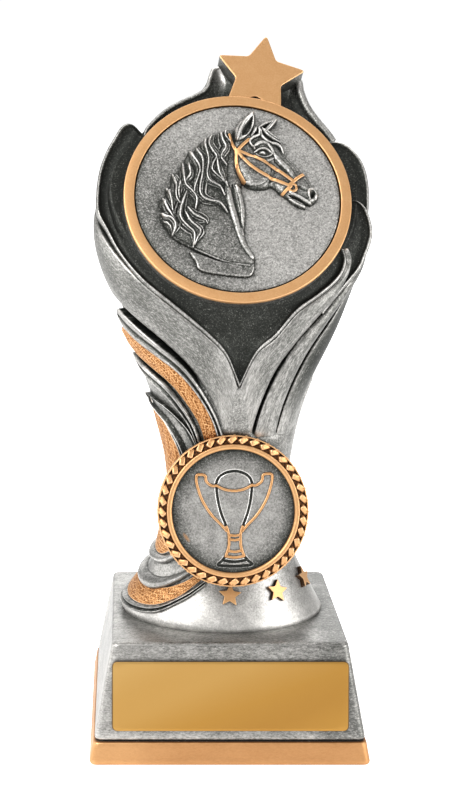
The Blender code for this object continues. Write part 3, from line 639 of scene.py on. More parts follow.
# Ribbons that sweep from the lower frame up to the left, and bands round the foot.
RIBBONS = {
    "ribbon_silver_a": dict(
        first=((-5, 48), (-13, 56), (-28, 66.5), (-42, 72), (-58, 76.5), (-78, 81)),
        second=((-10, 47), (-17, 55), (-32, 64.2), (-48, 69.2), (-66, 72.8), (-82, 75.4)),
        low=0.7, high=1.4, groove=0.8, curl=-0.5,
    ),
    "ribbon_gold_a": dict(
        first=((-9, 47.6), (-15.6, 55.4), (-30.6, 64.8), (-46.6, 70), (-64, 73.4), (-82, 76)),
        second=((-22, 46), (-27, 53), (-42, 61.5), (-56, 65.5), (-70, 68.4), (-86, 71.5)),
        low=0.5, high=0.9, gold=True,
    ),
    "ribbon_silver_b": dict(
        first=((-24, 46), (-30, 53), (-44, 61), (-58, 64.8), (-71, 67.2), (-83, 69)),
        second=((-28, 45), (-35, 52), (-50, 58.2), (-64, 61.8), (-76, 64.4), (-87, 67.2)),
        low=0.6, high=1.9, groove=1.0, curl=-0.9,
    ),
    "ribbon_leaf": dict(
        first=((-28, 45.4), (-36, 51), (-51, 55.2), (-65, 57), (-79, 57.8), (-91, 58)),
        second=((-44, 43), (-50, 47.3), (-60, 51.4), (-72, 53.6), (-84, 54.8), (-94, 55.8)),
        low=1.4, high=-0.3, power=0.8, curl=0.2, soot=1.2,
    ),
    "ribbon_gold_b": dict(
        first=((-46, 38), (-50, 44), (-58, 49), (-68, 53), (-82, 55.5), (-94, 57)),
        second=((-90, 36), (-94, 40), (-96, 44), (-97, 48), (-98, 51), (-99, 54)),
        low=0.4, high=0.8, gold=True,
    ),
    "foot_gold_top": dict(
        first=((-50, 22), (-70, 23), (-92, 24), (-112, 25)),
        second=((-50, 18.6), (-66, 16), (-90, 16.4), (-114, 18)),
        low=0.5, high=0.9, gold=True,
    ),
    "foot_rim_top": dict(
        first=((-44, 19), (-62, 16.2), (-86, 16.2), (-114, 17.6)),
        second=((-44, 16.6), (-60, 14), (-88, 14), (-116, 15.6)),
        low=0.3, high=1.6,
    ),
    "foot_leaf": dict(
        first=((-27.4, 15.9), (-39.5, 12.9), (-56.4, 10.9), (-78.5, 11), (-112.6, 12.9)),
        second=((-28, 13.4), (-42, 9.8), (-58, 7.8), (-82, 8.4), (-114, 10.4)),
        low=0.3, high=1.6,
    ),
    "foot_gold_low": dict(
        first=((-19.4, 14.9), (-33.4, 11.1), (-51.7, 8.8), (-81, 9), (-113, 11)),
        second=((-20, 11.8), (-34, 7), (-52, 4.2), (-84, 4.4), (-116, 7)),
        low=0.5, high=0.8, gold=True,
    ),
    "foot_rim_low": dict(
        first=((-16, 12.6), (-30, 8.2), (-48, 4.6), (-84, 4.2), (-116, 6.8)),
        second=((-16, 10.8), (-30, 6.2), (-48, 2.6), (-84, 2.0), (-118, 4.6)),
        low=0.3, high=1.5, groove=0.9,
    ),
}

# Crests of the petals' inner faces: first points on the skin as angle and height, then points
# beside the upper frame as right, up and out of its face.
INNER_FACES = (
    (
        ((4, 62.5), (-4, 70.2), (-13, 75.2), (-29, 82.2), (-45, 88.2), (-60, 94.2), (-72, 99.7)),
        (
            (-34.2, -1.0, -7.0), (-34.4, 3.0, -7.3), (-34.0, 7.7, -7.6), (-33.1, 12.2, -7.6),
            (-31.4, 16.7, -7.4), (-29.6, 19.9, -7.0), (-28.0, 22.4, -6.5), (-26.4, 23.5, -6.0),
            (-25.0, 22.9, -5.5), (-23.6, 21.0, -5.0), (-22.2, 18.8, -4.2), (-21.0, 17.0, -3.6),
        ),
    ),
    (
        (
            (4, 62.5), (12, 70.7), (22, 75.2), (32, 81.2), (43, 84.7), (51, 87.4), (56, 90), (57, 93),
            (53, 95.8),
        ),
        (),
    ),
    (
        ((50, 80), (62, 85.7)),
        (
            (30.3, -15.8, -8.6), (32.0, -12.5, -7.8), (33.3, -9.4, -7.2), (33.9, -6.5, -6.7),
            (33.5, -3.5, -6.1), (32.5, -0.8, -5.5), (31.1, 0.5, -4.9), (29.5, 0.7, -4.2),
            (28.0, 0.5, -3.5), (26.8, 0.2, -3.0),
        ),
    ),
    (
        ((76, 89),),
        (
            (32.8, -5.5, -9.5), (33.7, -0.5, -8.8), (34.1, 3.1, -8.4), (34.2, 7.0, -8.0),
            (33.7, 11.0, -7.6), (32.4, 14.1, -7.0), (30.3, 16.2, -6.0), (28.0, 17.2, -5.0),
            (25.8, 17.1, -4.0), (24.0, 16.6, -3.2),
        ),
    ),
)

# Plumes beside the top star, as crest and root points level with the upper frame's face.
PLUMES = {
    "plume_left": dict(
        crest=(
            (-22.6, 18.4), (-21.9, 21.2), (-20.1, 23.6), (-18.0, 25.8), (-15.4, 27.9), (-12.1, 29.8),
            (-9.2, 31.2), (-6.9, 32.7), (-5.7, 34.6), (-5.0, 36.8), (-4.2, 38.7), (-2.9, 39.2),
        ),
        root=(
            (-20.6, 16.8), (-19.4, 18.4), (-17.8, 20.0), (-15.6, 21.8), (-12.8, 23.6), (-9.6, 25.2),
            (-6.0, 26.4), (-2.0, 27.2), (1.4, 29.6), (2.2, 32.6), (1.0, 35.4), (-1.4, 38.2),
        ),
        lip=1.0, highlight_tip=0.42,
    ),
    "plume_right": dict(
        crest=(
            (26.3, 18.4), (25.1, 20.6), (22.8, 23.9), (20.5, 27.9), (19.2, 32.1), (18.9, 35.0),
            (18.2, 36.2),
        ),
        root=(
            (22.9, 15.4), (20.2, 18.0), (17.4, 20.6), (13.4, 24.0), (12.0, 29.0), (13.6, 33.6),
            (16.6, 36.0),
        ),
        lip=2.1, highlight_tip=0.5,
    ),
}


FRAME_SIDE_RADIUS = 26.8
FRAME_SIDE_DEPTH = -2.4
PLUME_CREST_DEPTH = -5.0
PLUME_ROOT_DEPTH = -3.6
PETAL_SAG = 2.0
PLUME_SAG = 1.6
PETAL_LIP = 0.85
PETAL_SHEET = 3.0
PLUME_SHEET = 5.0


def inner_face(crest, root, lip, sag=PETAL_SAG, wall=PETAL_SHEET, highlight_tip=0.0):
    """A closed hollow sheet from a worn crest down to its dark root, both lines of points in space. The
    dark lining is patina and painted shade, and a painted highlight lightens the tip.
    """
    rows = len(crest)
    across = 30
    into_body = -LEVEL_FACE[:3, 2]
    span = root - crest
    width = np.linalg.norm(span, axis=1)
    share = np.clip(lip / np.maximum(width, 0.5), 0, 0.45)[:, None]
    on_lip = share * np.linspace(0, 1, 6)[None, :]
    past_lip = share + (1 - share) * np.linspace(0, 1, across)[None, 1:]
    v = np.concatenate([on_lip, past_lip], axis=1)
    hollow = np.clip((v - share) / (1 - share), 0, 1)
    depth = sag * np.clip(width / 8, 0, 1)[:, None] * np.sin(math.pi * hollow**0.8)
    depth -= 0.3 * lip * np.sin(math.pi * np.clip(v / share, 0, 1))
    top = crest[:, None, :] + span[:, None, :] * v[..., None] + into_body * depth[..., None]
    under = top + into_body * (wall * (0.6 + 0.4 * np.clip(v / 0.3, 0, 1)))[..., None]
    rings = np.concatenate([top, under[:, ::-1]], axis=1)
    t = np.linspace(0, 1, rows)[:, None]
    # Painted highlight over the share of the sheet nearest its tip.
    tip_highlight = ease((t - 1 + highlight_tip) / highlight_tip) if highlight_tip else 0 * t
    past = np.clip((v * width[:, None] - 0.75 * lip) / 0.5, 0, 1)
    lining = past * (1 - tip_highlight * np.clip(1.7 - 1.5 * v, 0, 1))
    worn_lip = 0.15 * (1 - past) * (1 - tip_highlight)
    dark = lining + worn_lip - 0.75 * tip_highlight * (v < 0.6)
    dark_under = (0.2 + 0.7 * np.clip(v / 0.2, 0, 1))[:, ::-1]
    return lofted(rings, soot=np.concatenate([dark, dark_under], axis=1))


def even_line(points, count):
    """A smooth line through points in space, with its own points spread evenly along it."""
    line = curve_at(points, np.linspace(0, 1, 40 * len(points)))
    away = np.concatenate([[0], np.cumsum(np.linalg.norm(np.diff(line, axis=0), axis=1))])
    at = np.linspace(0, away[-1], count)
    return np.stack([np.interp(at, away, line[:, k]) for k in range(3)], -1)


def ring_point(points, radius, depth):
    """Points on the upper frame's side, each facing one of the given points."""
    local = (points - LEVEL_FACE[:3, 3]) @ LEVEL_FACE[:3, :3]
    away = np.hypot(local[:, 0], local[:, 1])
    flat = local[:, :2] / away[:, None] * radius
    return into(LEVEL_FACE, np.column_stack([flat, np.full(len(flat), depth)]))


def inner_faces(look):
    rows = 150
    t = np.linspace(0, 1, rows)
    shells = []
    for on_skin, beside_frame in INNER_FACES:
        angle, height = np.array(on_skin, float).T
        points = skin(angle, height, 0.15 - 0.9 * ease((height - 88) / 8))
        if beside_frame:
            points = np.vstack([points, into(LEVEL_FACE, np.array(beside_frame))])
        crest = even_line(points, rows)
        root = ring_point(crest, FRAME_SIDE_RADIUS, FRAME_SIDE_DEPTH)
        shells.append(inner_face(crest, root, PETAL_LIP))
    for values in PLUMES.values():
        lines = []
        for key, depth in (("crest", PLUME_CREST_DEPTH), ("root", PLUME_ROOT_DEPTH)):
            line = curve_at(values[key], t)
            lines.append(into(LEVEL_FACE, np.column_stack([line, np.full(rows, depth)])))
        shells.append(inner_face(*lines, values["lip"], PLUME_SAG, PLUME_SHEET, values["highlight_tip"]))
    return piece("inner_faces", shells, look)


def petals(look):
    for name, values in PETALS.items():
        piece(name, [blade(**values)], look)


def ribbons(look):
    for name, values in RIBBONS.items():
        steps = dict(along=260, across=44) if values.get("gold") else dict(along=150, across=30)
        piece(name, [blade(wall=RIBBON_WALL, start=0.0, tip=2.2, rim=0.35, **values, **steps)], look)


CORE_BEHIND_FACE = 4.7
CORE_SINK = 3.0
V_TIP_HEIGHT = 61.0
GROOVE_DROP = 13.0
FOOT_SHINE = 0.62
SHINE_ANGLE = 35.0
WAIST_DARKENING = 0.14


def core(look):
    """The body behind the petals, cut flat behind the upper face."""
    around = 200
    heights = np.concatenate([[-1.5, -0.4], np.linspace(0, 126, 170)])
    angle = 360 * np.arange(around) / around
    height = np.repeat(heights[:, None], around, axis=1)
    sunk = V_TIP_HEIGHT - GROOVE_DROP * ease((angle - 8) / 10) * ease((75 - angle) / 15)
    lift = -CORE_SINK * ease((height - sunk) / 6) - 2.0 * ease((height - 110) / 16)
    lift = lift - 0.5 * (height < 0.3)
    rings = skin(angle[None, :], np.maximum(height, 0), lift)
    rings[..., 2] = PLINTH_HEIGHT + height
    local = (rings - TOP_FACE[:3, 3]) @ TOP_FACE[:3, :3]
    local[..., 2] = np.minimum(local[..., 2], -CORE_BEHIND_FACE)
    rings = into(TOP_FACE, local)
    # Painted shine on the foot, brightest towards the front right and gone 15 mm up; the waist is a
    # little darker.
    facing = 0.6 + 0.4 * np.cos(np.radians(angle - SHINE_ANGLE))
    painted_shine = FOOT_SHINE * np.clip(1 - height / 15, 0, 1) * facing
    soot = ease((height - sunk) / 4) - painted_shine + WAIST_DARKENING * ease((height - 15) / 10) * (height < sunk)
    return piece("body", [lofted(rings, soot=soot)], look)


# Plinth and plate.
PLINTH_ARRIS = 0.9
BAND_SOOT = 0.3
PLINTH_SIDE_SPACES = 60


def plinth(look):
    """Foot band under four walls that lean in, with a flat top under the body."""
    lean = PLINTH_TAPER / PLINTH_HEIGHT
    step = BAND_STEP * 0.3
    # Height, inset, gilt and soot of each ring from the underside up.
    levels = [(0.0, 6.0, 1, 0), (0.0, 0.6, 1, 0), (0.12, 0.25, 1, 0), (0.62, 0.0, 1, 0)]
    levels += [(h, 0.0, 1, 0) for h in np.linspace(1.4, BAND_HEIGHT - 0.5, 5)]
    levels += [
        (BAND_HEIGHT - 0.22, 0.06, 1, 0),
        (BAND_HEIGHT - 0.08, 0.3, 1, 0.2),
        (BAND_HEIGHT, BAND_STEP + 0.45, 0, 1),
        (BAND_HEIGHT + 0.28, BAND_STEP + 0.3, 0, 1),
        (BAND_HEIGHT + 0.42, BAND_STEP + 0.05, 0, 0.2),
        (BAND_HEIGHT + 0.7, BAND_STEP * 0.6, 0, 0),
    ]
    levels += [(h, step, 0, 0) for h in np.linspace(BAND_HEIGHT + 1.0, PLINTH_HEIGHT - 1.0, 18)]
    for a in np.radians(np.linspace(15, 90, 6)):
        drop, inward = PLINTH_ARRIS * (1 - math.sin(a)), PLINTH_ARRIS * (1 - math.cos(a))
        levels.append((PLINTH_HEIGHT - drop, step + inward, 0, 0))
    levels += [(PLINTH_HEIGHT, inset, 0, 0) for inset in np.linspace(2.2, 27.5, 24)]
    rings = np.array([plinth_ring(lean * height + inset, height) for height, inset, _, _ in levels])
    columns = rings.shape[1]
    gilt = np.repeat([level[2] for level in levels], columns)
    x, y, z = rings.reshape(-1, 3).T
    soot = np.repeat([level[3] for level in levels], columns) + BAND_SOOT * gilt
    # Painted light: lighter towards the left of the front wall, darker towards the right above the band.
    soot = soot - 0.16 * ease((-x - 12) / 15) * (y < -20)
    soot = soot + 0.26 * ease((x - 18) / 8) * (z > BAND_HEIGHT)
    brushing = rings * (0.42, 0.42, 1.0)
    on_top = rings[..., 2] > PLINTH_HEIGHT - 0.5
    brushing[..., 1] = np.where(on_top, rings[..., 1] * 0.8, brushing[..., 1])
    return piece("plinth", [lofted(rings, gilt=gilt, soot=soot, brushing=brushing)], look)


def plinth_ring(inset, height):
    """Rounded rectangle of the plinth at a height, drawn in by an inset."""
    half_x, half_y = PLINTH_WIDTH / 2 - inset, PLINTH_DEPTH / 2 - inset
    corner = min(PLINTH_CORNER, 0.5 * min(half_x, half_y))
    arcs = []
    for quarter, (sx, sy) in enumerate(((1, 1), (-1, 1), (-1, -1), (1, -1))):
        a = np.radians(90 * quarter + np.linspace(0, 90, 7))
        middle = (sx * (half_x - corner), sy * (half_y - corner))
        arcs.append(np.column_stack([np.cos(a), np.sin(a)]) * corner + middle)
    share = (np.arange(1, PLINTH_SIDE_SPACES) / PLINTH_SIDE_SPACES)[:, None]
    points = []
    for arc, following in zip(arcs, arcs[1:] + arcs[:1]):
        points += [arc, arc[-1] + (following[0] - arc[-1]) * share]
    flat = np.concatenate(points)
    return np.column_stack([flat, np.full(len(flat), height)])


def flat_plate(outline, low, high, bevel, place, gilt=(1, 1, 1), soot=(0, 0, 0), rings=14, edge_zone=0):
    """A raised outline with a rounded upper edge, drawn in ring by ring to its middle.

    Gilt and darkening (patina and painted light) are given for its face, its side and its back.
    """
    middle = outline.mean(axis=0)
    size = np.linalg.norm(outline - middle, axis=1).mean()
    rows = [(0.02, low, 2), (1.0, low, 2)]
    rows += [(1.0, h, 1) for h in np.linspace(low, high - bevel, max(3, int((high - low) / 0.6)))[1:]]
    for a in (30, 60, 90):
        s, c = math.sin(math.radians(a)), math.cos(math.radians(a))
        rows.append((1 - bevel * (1 - c) / size, high - bevel * (1 - s), 0 if a == 90 else edge_zone))
    rows += [((1 - bevel / size) * (1 - k / rings), high, 0) for k in range(1, rings)]
    rows.append((0.01, high, 0))
    count = len(outline)
    grid = []
    for share, height, _ in rows:
        grid.append(np.column_stack([middle + (outline - middle) * share, np.full(count, height)]))
    spread = [np.repeat([values[zone] for _, _, zone in rows], count) for values in (gilt, soot)]
    return lofted(np.array(grid), gilt=spread[0], soot=spread[1]).into(place)


def engraving_plate(look):
    """Thin bare plate on the front wall of the plinth, leaning with it."""
    lean = math.atan2(PLINTH_TAPER, PLINTH_HEIGHT)
    up = np.array((0, math.sin(lean), math.cos(lean)))
    out = np.array((0, -math.cos(lean), math.sin(lean)))
    climb = BAND_HEIGHT / math.cos(lean) + PLATE_RISE
    foot = np.array((0, -PLINTH_DEPTH / 2, 0)) + up * climb + out * FIT_GAP
    place = placed((1, 0, 0), up, out, foot)
    half = PLATE_WIDTH / 2
    corners = ((-half, 0), (half, 0), (half, PLATE_HEIGHT), (-half, PLATE_HEIGHT))
    outline = evenly(rounded_loop(corners, 1.3, 6), 0.5)
    shell = flat_plate(outline, 0.0, PLATE_THICKNESS, 0.25, place, soot=(0, 0.9, 1), edge_zone=1)
    made = piece("engraving_plate_face", [shell], look)
    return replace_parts(made, "engraving_plate")


# Upper frame, star and small stars.
DRUM_LIP = 1.1
DRUM_BACK = 9.0


def upper_frame(look):
    """Flat gilded rim round the recess, on a drum with a dark side."""
    side = RING_RADIUS
    corners = (
        (0, -RECESS_DEPTH), (RECESS_RADIUS, -RECESS_DEPTH), (RECESS_RADIUS, 0),
        (side, 0), (side, -DRUM_LIP), (side - 0.12, -1.2), (side, -3.0), (side - 1.5, -3.6),
        (side - 2.0, -DRUM_BACK), (0, -DRUM_BACK),
    )
    profile = rounded(corners, 0.3, 4)
    radius, height = profile.T
    recessed = (height < -0.3) & (radius < RECESS_RADIUS + 0.01)
    gilt = (height > -DRUM_LIP - 0.05) & (radius >= RECESS_RADIUS - 0.02) & ~recessed
    soot = recessed + 0.5 * (height < -DRUM_LIP - 0.05) * (radius > RECESS_RADIUS + 0.2)
    made = piece("upper_frame", [lathe(profile, 256, TOP_FACE, gilt, soot)], look)
    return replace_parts(made, "trophy_casting")


def star_outline(radius, inner, tip, notch):
    """Five-pointed star standing upright, with rounded tips and notches."""
    corners, reach = [], []
    for k in range(10):
        angle = math.radians(90 + 36 * k)
        size = inner if k % 2 else radius
        corners.append((size * math.cos(angle), size * math.sin(angle)))
        reach.append(notch if k % 2 else tip)
    return rounded_loop(corners, np.array(reach))


STAR_RISE = 6.9


def big_star(look):
    outline = evenly(star_outline(STAR_RADIUS * 1.04, STAR_RADIUS * 0.53, 1.1, 0.7), 0.4)
    place = TOP_FACE @ moved_by(0, RING_RADIUS + STAR_RISE, -0.3)
    paint = dict(gilt=(1, 0, 0), soot=(0, 0.45, 0.8))
    shell = flat_plate(outline, -STAR_THICKNESS, 0.0, 0.3, place, rings=24, **paint)
    return piece("top_star", [shell], look)


# Angle and height on the body and roll to the right of each star on the foot.
SMALL_STARS = ((2, 8.6, 4), (36, 8.6, 12), (71, 9.4, 8))


def small_stars(look):
    points = star_outline(SMALL_STAR_RADIUS * 1.04, SMALL_STAR_RADIUS * 0.48, 0.22, 0.15)
    outline = evenly(points, 0.22)
    paint = dict(gilt=(1, 0.4, 0), soot=(0, 0.55, 1))
    for k, (angle, height, roll) in enumerate(SMALL_STARS):
        place = skin_frame(angle, height) @ turned_by(-roll)
        shell = flat_plate(outline, -2.2, 1.1, 0.12, place, rings=8, **paint)
        piece(f"foot_star_{k + 1}", [shell], look)


# Lower frame: sunk face with the cup's lines, a plain gilded band and a rope edge.
def lower_frame(look):
    """The turned body of the lower face: sunk middle, plain band and a channel for the rope."""
    rope = CUP_RING_RADIUS - CUP_BAND
    corners = (
        (0, -CUP_RECESS), (CUP_RADIUS * 0.5, -CUP_RECESS), (CUP_RADIUS - 0.05, -CUP_RECESS),
        (CUP_RADIUS + 0.1, -0.15), (CUP_RADIUS + 0.45, 0.12), (CUP_BAND - 0.25, 0.12),
        (CUP_BAND, -0.95), (CUP_BAND + 0.55 * rope, -1.1), (CUP_RING_RADIUS - 0.45, -1.3),
        (CUP_RING_RADIUS - 0.3, -0.6), (CUP_RING_RADIUS, -0.7), (CUP_RING_RADIUS, -2.8),
        (CUP_BAND + 0.6 * rope, -9.5), (0, -12.0),
    )
    profile = rounded(corners, 0.28, 4)
    rows = []
    for start, end in zip(profile[:-1], profile[1:]):
        count = max(1, int(np.linalg.norm(end - start) / 0.8))
        rows += [start + (end - start) * k / count for k in range(count)]
    profile = np.array(rows + [profile[-1]])
    radius, height = profile.T
    gilt = (radius > CUP_RADIUS) & (height > -2.6)
    edge = np.clip((radius - CUP_RADIUS + 3.2) / 3.2, 0, 1) * (radius < CUP_RADIUS)
    channel = (radius > CUP_BAND - 0.1) & (radius < CUP_RING_RADIUS - 0.35) & (height < -0.3)
    soot = 0.75 * edge**2 + 0.8 * channel
    return piece("lower_frame", [lathe(profile, 240, CUP_FACE, gilt, soot)], look)


def rope_nodes(look):
    """A node tree that sets slanting bars round a circle, and the keys of its named inputs."""
    group = bpy.data.node_groups.new("Rope edge", "GeometryNodeTree")
    group.interface.new_socket("Geometry", in_out="OUTPUT", socket_type="NodeSocketGeometry")
    keys = {}
    kinds = dict(Strands="Int", Radius="Float", Bar="Vector", Slant="Float", Lean="Float")
    for name, kind in kinds.items():
        made = group.interface.new_socket(name, in_out="INPUT", socket_type="NodeSocket" + kind)
        keys[name] = made.identifier
    tree = Tree(group)
    strands, radius, bar_size, slant, lean, _ = tree.outputs_of(tree.add("NodeGroupInput"))
    circle = tree.add("GeometryNodeMeshCircle", None, {"Vertices": strands, "Radius": radius})
    box = tree.add("GeometryNodeMeshCube")
    soft = {"Mesh": box, "Level": 2, "Edge Crease": 0.45}
    bar = tree.add("GeometryNodeSubdivisionSurface", None, soft)
    angle = tree.add("GeometryNodeInputIndex") / strands * (2 * math.pi)
    tilt = tree.add("ShaderNodeCombineXYZ", None, {"Y": lean, "Z": slant})
    spin = tree.add("ShaderNodeCombineXYZ", None, {"Z": angle})
    turns = {"Rotation": tilt, "Rotate By": spin}
    turn = tree.add("FunctionNodeRotateEuler", dict(space="OBJECT"), turns)
    parts = {"Points": circle, "Instance": bar, "Rotation": turn, "Scale": bar_size}
    bars = tree.add("GeometryNodeInstanceOnPoints", None, parts)
    real = tree.add("GeometryNodeRealizeInstances", None, [bars])
    paint = tree.add("GeometryNodeSetMaterial", None, {"Geometry": real, "Material": look})
    tree.add("NodeGroupOutput", None, [paint])
    return group, keys


def rope_edge(look):
    """Slanting gilded bars that stand out of the lower frame's outer edge."""
    holder = bpy.data.objects.new("rope_edge", bpy.data.meshes.new("rope_edge"))
    bpy.context.scene.collection.objects.link(holder)
    group, keys = rope_nodes(look)
    sizes = {
        "Strands": ROPE_STRANDS,
        "Radius": (CUP_BAND + CUP_RING_RADIUS) / 2 * MM,
        "Bar": tuple(size * MM for size in ROPE_BAR),
        "Slant": ROPE_SLANT,
        "Lean": ROPE_LEAN,
    }
    modifier = holder.modifiers.new("Rope edge", "NODES")
    modifier.node_group = group
    for name, value in sizes.items():
        modifier[keys[name]] = value
    holder.update_tag()
    graph = bpy.context.evaluated_depsgraph_get()
    mesh = bpy.data.meshes.new_from_object(holder.evaluated_get(graph))
    bpy.data.objects.remove(holder)
    points = np.empty(len(mesh.vertices) * 3, np.float32)
    mesh.vertices.foreach_get("co", points)
    points = points.reshape(-1, 3) / MM + (0, 0, -ROPE_SINK)
    faces = [tuple(face.vertices) for face in mesh.polygons]
    return piece("rope_edge", [Shell(points, faces, gilt=1.0).into(CUP_FACE)], look)


# Lines on the lower face, in millimetres from its middle.
CUP_HANDLE = (
    (-4.2, 6.3), (-5.4, 6.4), (-6.6, 7.4), (-6.9, 8.8), (-8.0, 9.1), (-9.1, 8.8), (-8.9, 6.4),
    (-7.6, 2.6), (-5.4, -0.9), (-3.0, -3.4), (-1.7, -4.9),
)
CUP_STEM = ((-1.7, -3.9), (-1.2, -5.6), (-1.1, -7.4), (-1.3, -9.2), (-2.0, -11.2))
CUP_RIM = ((-4.2, 6.4), (-2.2, 5.4), (0.3, 5.0), (2.8, 5.4), (4.8, 6.4))
CUP_BOWL = ((-4.1, 6.2), (-4.0, 4.4), (-3.6, 1.8), (-2.9, -0.8), (-1.9, -3.4))
CUP_BACK = ((-4.3, 6.4), (-3.6, 8.2), (-2.0, 9.4), (0.3, 9.9), (2.6, 9.4), (4.2, 8.2), (4.9, 6.4))
CUP_FOOT = (
    (-2.1, -11.3), (-3.0, -12.4), (-3.9, -13.3), (-1.8, -13.6), (0.3, -13.7), (2.4, -13.6),
    (4.5, -13.3), (3.6, -12.4), (2.7, -11.3),
)


def mirrored(line):
    return tuple((0.6 - x, y) for x, y in line)


CUP_GILDED = (
    CUP_HANDLE, mirrored(CUP_HANDLE), CUP_STEM, mirrored(CUP_STEM), CUP_RIM,
    ((-1.2, -5.9), (0.3, -6.1), (1.8, -5.9)),
    ((-1.1, -7.0), (0.3, -7.2), (1.7, -7.0)),
    ((-2.0, -11.2), (0.3, -11.5), (2.6, -11.2)),
    ((-1.5, -9.8), (0.3, -10.1), (2.1, -9.8)),
)
CUP_DARK = (
    CUP_BOWL, mirrored(CUP_BOWL), CUP_BACK, CUP_FOOT,
    ((-2.6, -12.2), (0.3, -12.6), (3.2, -12.2)),
)


def line_share(x, y, lines, half, soft):
    """1 on the given lines and 0 a soft step away from them."""
    found = np.zeros(x.shape)
    for line in lines:
        line = smooth_line(line, share=4)
        at = near(x, y, line, half + soft)
        away, _ = along_line(x[at], y[at], line)
        found[at] = np.maximum(found[at], np.clip((half + soft - away) / soft, 0, 1))
    return found


CUP_SHADE_WIDTH = 5.5
SMUDGE = (-11.7, -6.4, 0.45, 1.4, 0.7, 35)


def cup_relief(look):
    """The sunk face of the lower frame with a two-handled cup in raised gilded and dark lines."""
    step = 0.125
    reach = CUP_RADIUS + 0.3
    xs = np.arange(-reach, reach + step, step)
    x, y = np.meshgrid(xs, xs, indexing="ij")
    gilded = line_share(x, y, CUP_GILDED, 0.2, 0.2)
    dark = line_share(x, y, CUP_DARK, 0.22, 0.2) * (1 - gilded)
    beside_lines = line_share(x, y, CUP_GILDED + CUP_DARK, 0.3, 0.5)
    inner = line_share(x, y, (mirrored(CUP_BOWL), CUP_BOWL), 0.6, 1.6)
    height = 0.26 * gilded - 0.22 * dark - 0.1 * inner * (1 - gilded) - CUP_RECESS + 0.4
    away = np.hypot(x, y)
    edge = np.clip((away - CUP_RADIUS + CUP_SHADE_WIDTH) / CUP_SHADE_WIDTH, 0, 1)
    # Below 0 paints shine in the middle of the face; patina darkens it towards the edge and beside the
    # lines.
    shade = np.clip(-0.22 + 0.95 * edge**1.6 + 0.12 * beside_lines + 1.2 * dark, -0.3, 1)
    soot = shade * (1 - gilded) + 0.4 * gilded
    smudge = bump(x, y, *SMUDGE)
    gilt = np.maximum(gilded > 0.45, np.where(smudge > 0.25, smudge, 0))
    keep = away < CUP_RADIUS + 0.25
    return sheet_piece("cup_relief", x, y, height, keep, gilt, soot, look, CUP_FACE)


def sheet_piece(name, x, y, height, keep, gilt, soot, look, place):
    """A grid of heights as one sheet, kept where it is marked."""
    number = np.full(x.shape, -1)
    number[keep] = np.arange(keep.sum())
    corner = keep[:-1, :-1] & keep[1:, :-1] & keep[1:, 1:] & keep[:-1, 1:]
    quads = np.stack([number[:-1, :-1], number[1:, :-1], number[1:, 1:], number[:-1, 1:]], -1)[corner]
    front = np.column_stack([x[keep], y[keep], height[keep]])
    faces = [tuple(q) for q in quads.tolist()]
    shell = Shell(front, faces, gilt=gilt[keep], soot=soot[keep], brushing=front).into(place)
    return piece(name, [shell], look)


# Horse relief, in millimetres from the middle of the medallion.
HEAD = (
    (0.5, 17.2), (4.0, 17.6), (7.8, 16.6), (9.8, 14.4), (11.6, 12.0), (13.2, 9.9), (15.4, 7.1),
    (17.1, 4.8), (18.5, 2.3), (19.5, 0.7), (19.6, -0.7), (18.5, -2.1), (17.4, -2.8), (16.6, -2.7),
    (16.2, -3.6), (15.0, -3.3), (13.1, -2.2), (11.7, -0.8), (10.0, 0.6), (8.3, 2.2), (6.4, 1.7),
    (3.6, 1.8), (1.6, 2.8), (-0.6, 6.0), (-1.4, 10.0), (-1.2, 14.4),
)
NECK = (
    (1.5, 17.0), (-0.2, 18.3), (-2.1, 17.9), (-3.9, 17.3), (-6.1, 16.2), (-7.9, 15.3), (-9.4, 13.9),
    (-10.2, 12.3), (-11.7, 11.9), (-12.6, 10.5), (-13.7, 8.3), (-14.2, 6.7), (-15.8, 6.3),
    (-16.5, 4.6), (-16.5, 3.0), (-17.8, 1.9), (-18.0, 0.2), (-18.9, -0.4), (-19.6, -2.3),
    (-18.8, -3.8), (-19.5, -5.3), (-18.7, -7.6), (-17.4, -9.8), (-16.0, -11.5), (-11.6, -14.1),
    (-4.6, -17.4), (2.0, -19.0), (3.2, -16.4), (1.4, -11.8), (1.2, -8.7), (1.6, -5.6), (1.6, -2.0),
    (1.0, 2.0), (1.6, 9.0),
)
SLAB = (
    (-12.2, -14.6), (-4.6, -17.4), (2.6, -17.6), (2.0, -21.3), (-3.0, -21.2), (-9.9, -19.9),
    (-11.3, -17.4),
)
NEAR_EAR = (
    (-0.3, 14.6), (-0.2, 17.6), (1.2, 20.0), (3.0, 21.5), (5.0, 22.9), (5.2, 20.7), (4.6, 18.4),
    (3.2, 15.8), (1.4, 14.4),
)
NEAR_EAR_HOLLOW = (
    (1.5, 15.9), (1.9, 17.9), (3.0, 19.7), (4.6, 21.5), (4.7, 19.6), (4.1, 17.8), (2.7, 16.0),
)
FAR_EAR = (
    (5.3, 18.2), (6.9, 19.8), (8.6, 20.5), (10.8, 20.9), (10.2, 19.6), (9.2, 18.3), (7.8, 17.0),
    (6.2, 16.8),
)
FAR_EAR_HOLLOW = (
    (5.9, 18.4), (7.3, 19.5), (8.8, 20.0), (9.5, 20.1), (8.6, 19.0), (7.4, 17.8), (6.5, 17.6),
)
MANE_MASS = (
    (-0.6, 17.6), (-5.8, 16.4), (-8.9, 14.2), (-12.2, 10.8), (-14.6, 6.6), (-16.4, 2.6), (-18.2, -1.4),
    (-19.0, -5.0), (-17.9, -8.8), (-15.8, -11.2), (-11.4, -13.5), (-10.0, -10.6), (-8.4, -7.6),
    (-10.4, -4.4), (-9.0, -2.0), (-5.4, -2.8), (-3.2, -4.6), (-3.0, 0.0), (-2.6, 3.6), (-2.4, 8.0),
    (-1.6, 12.0),
)
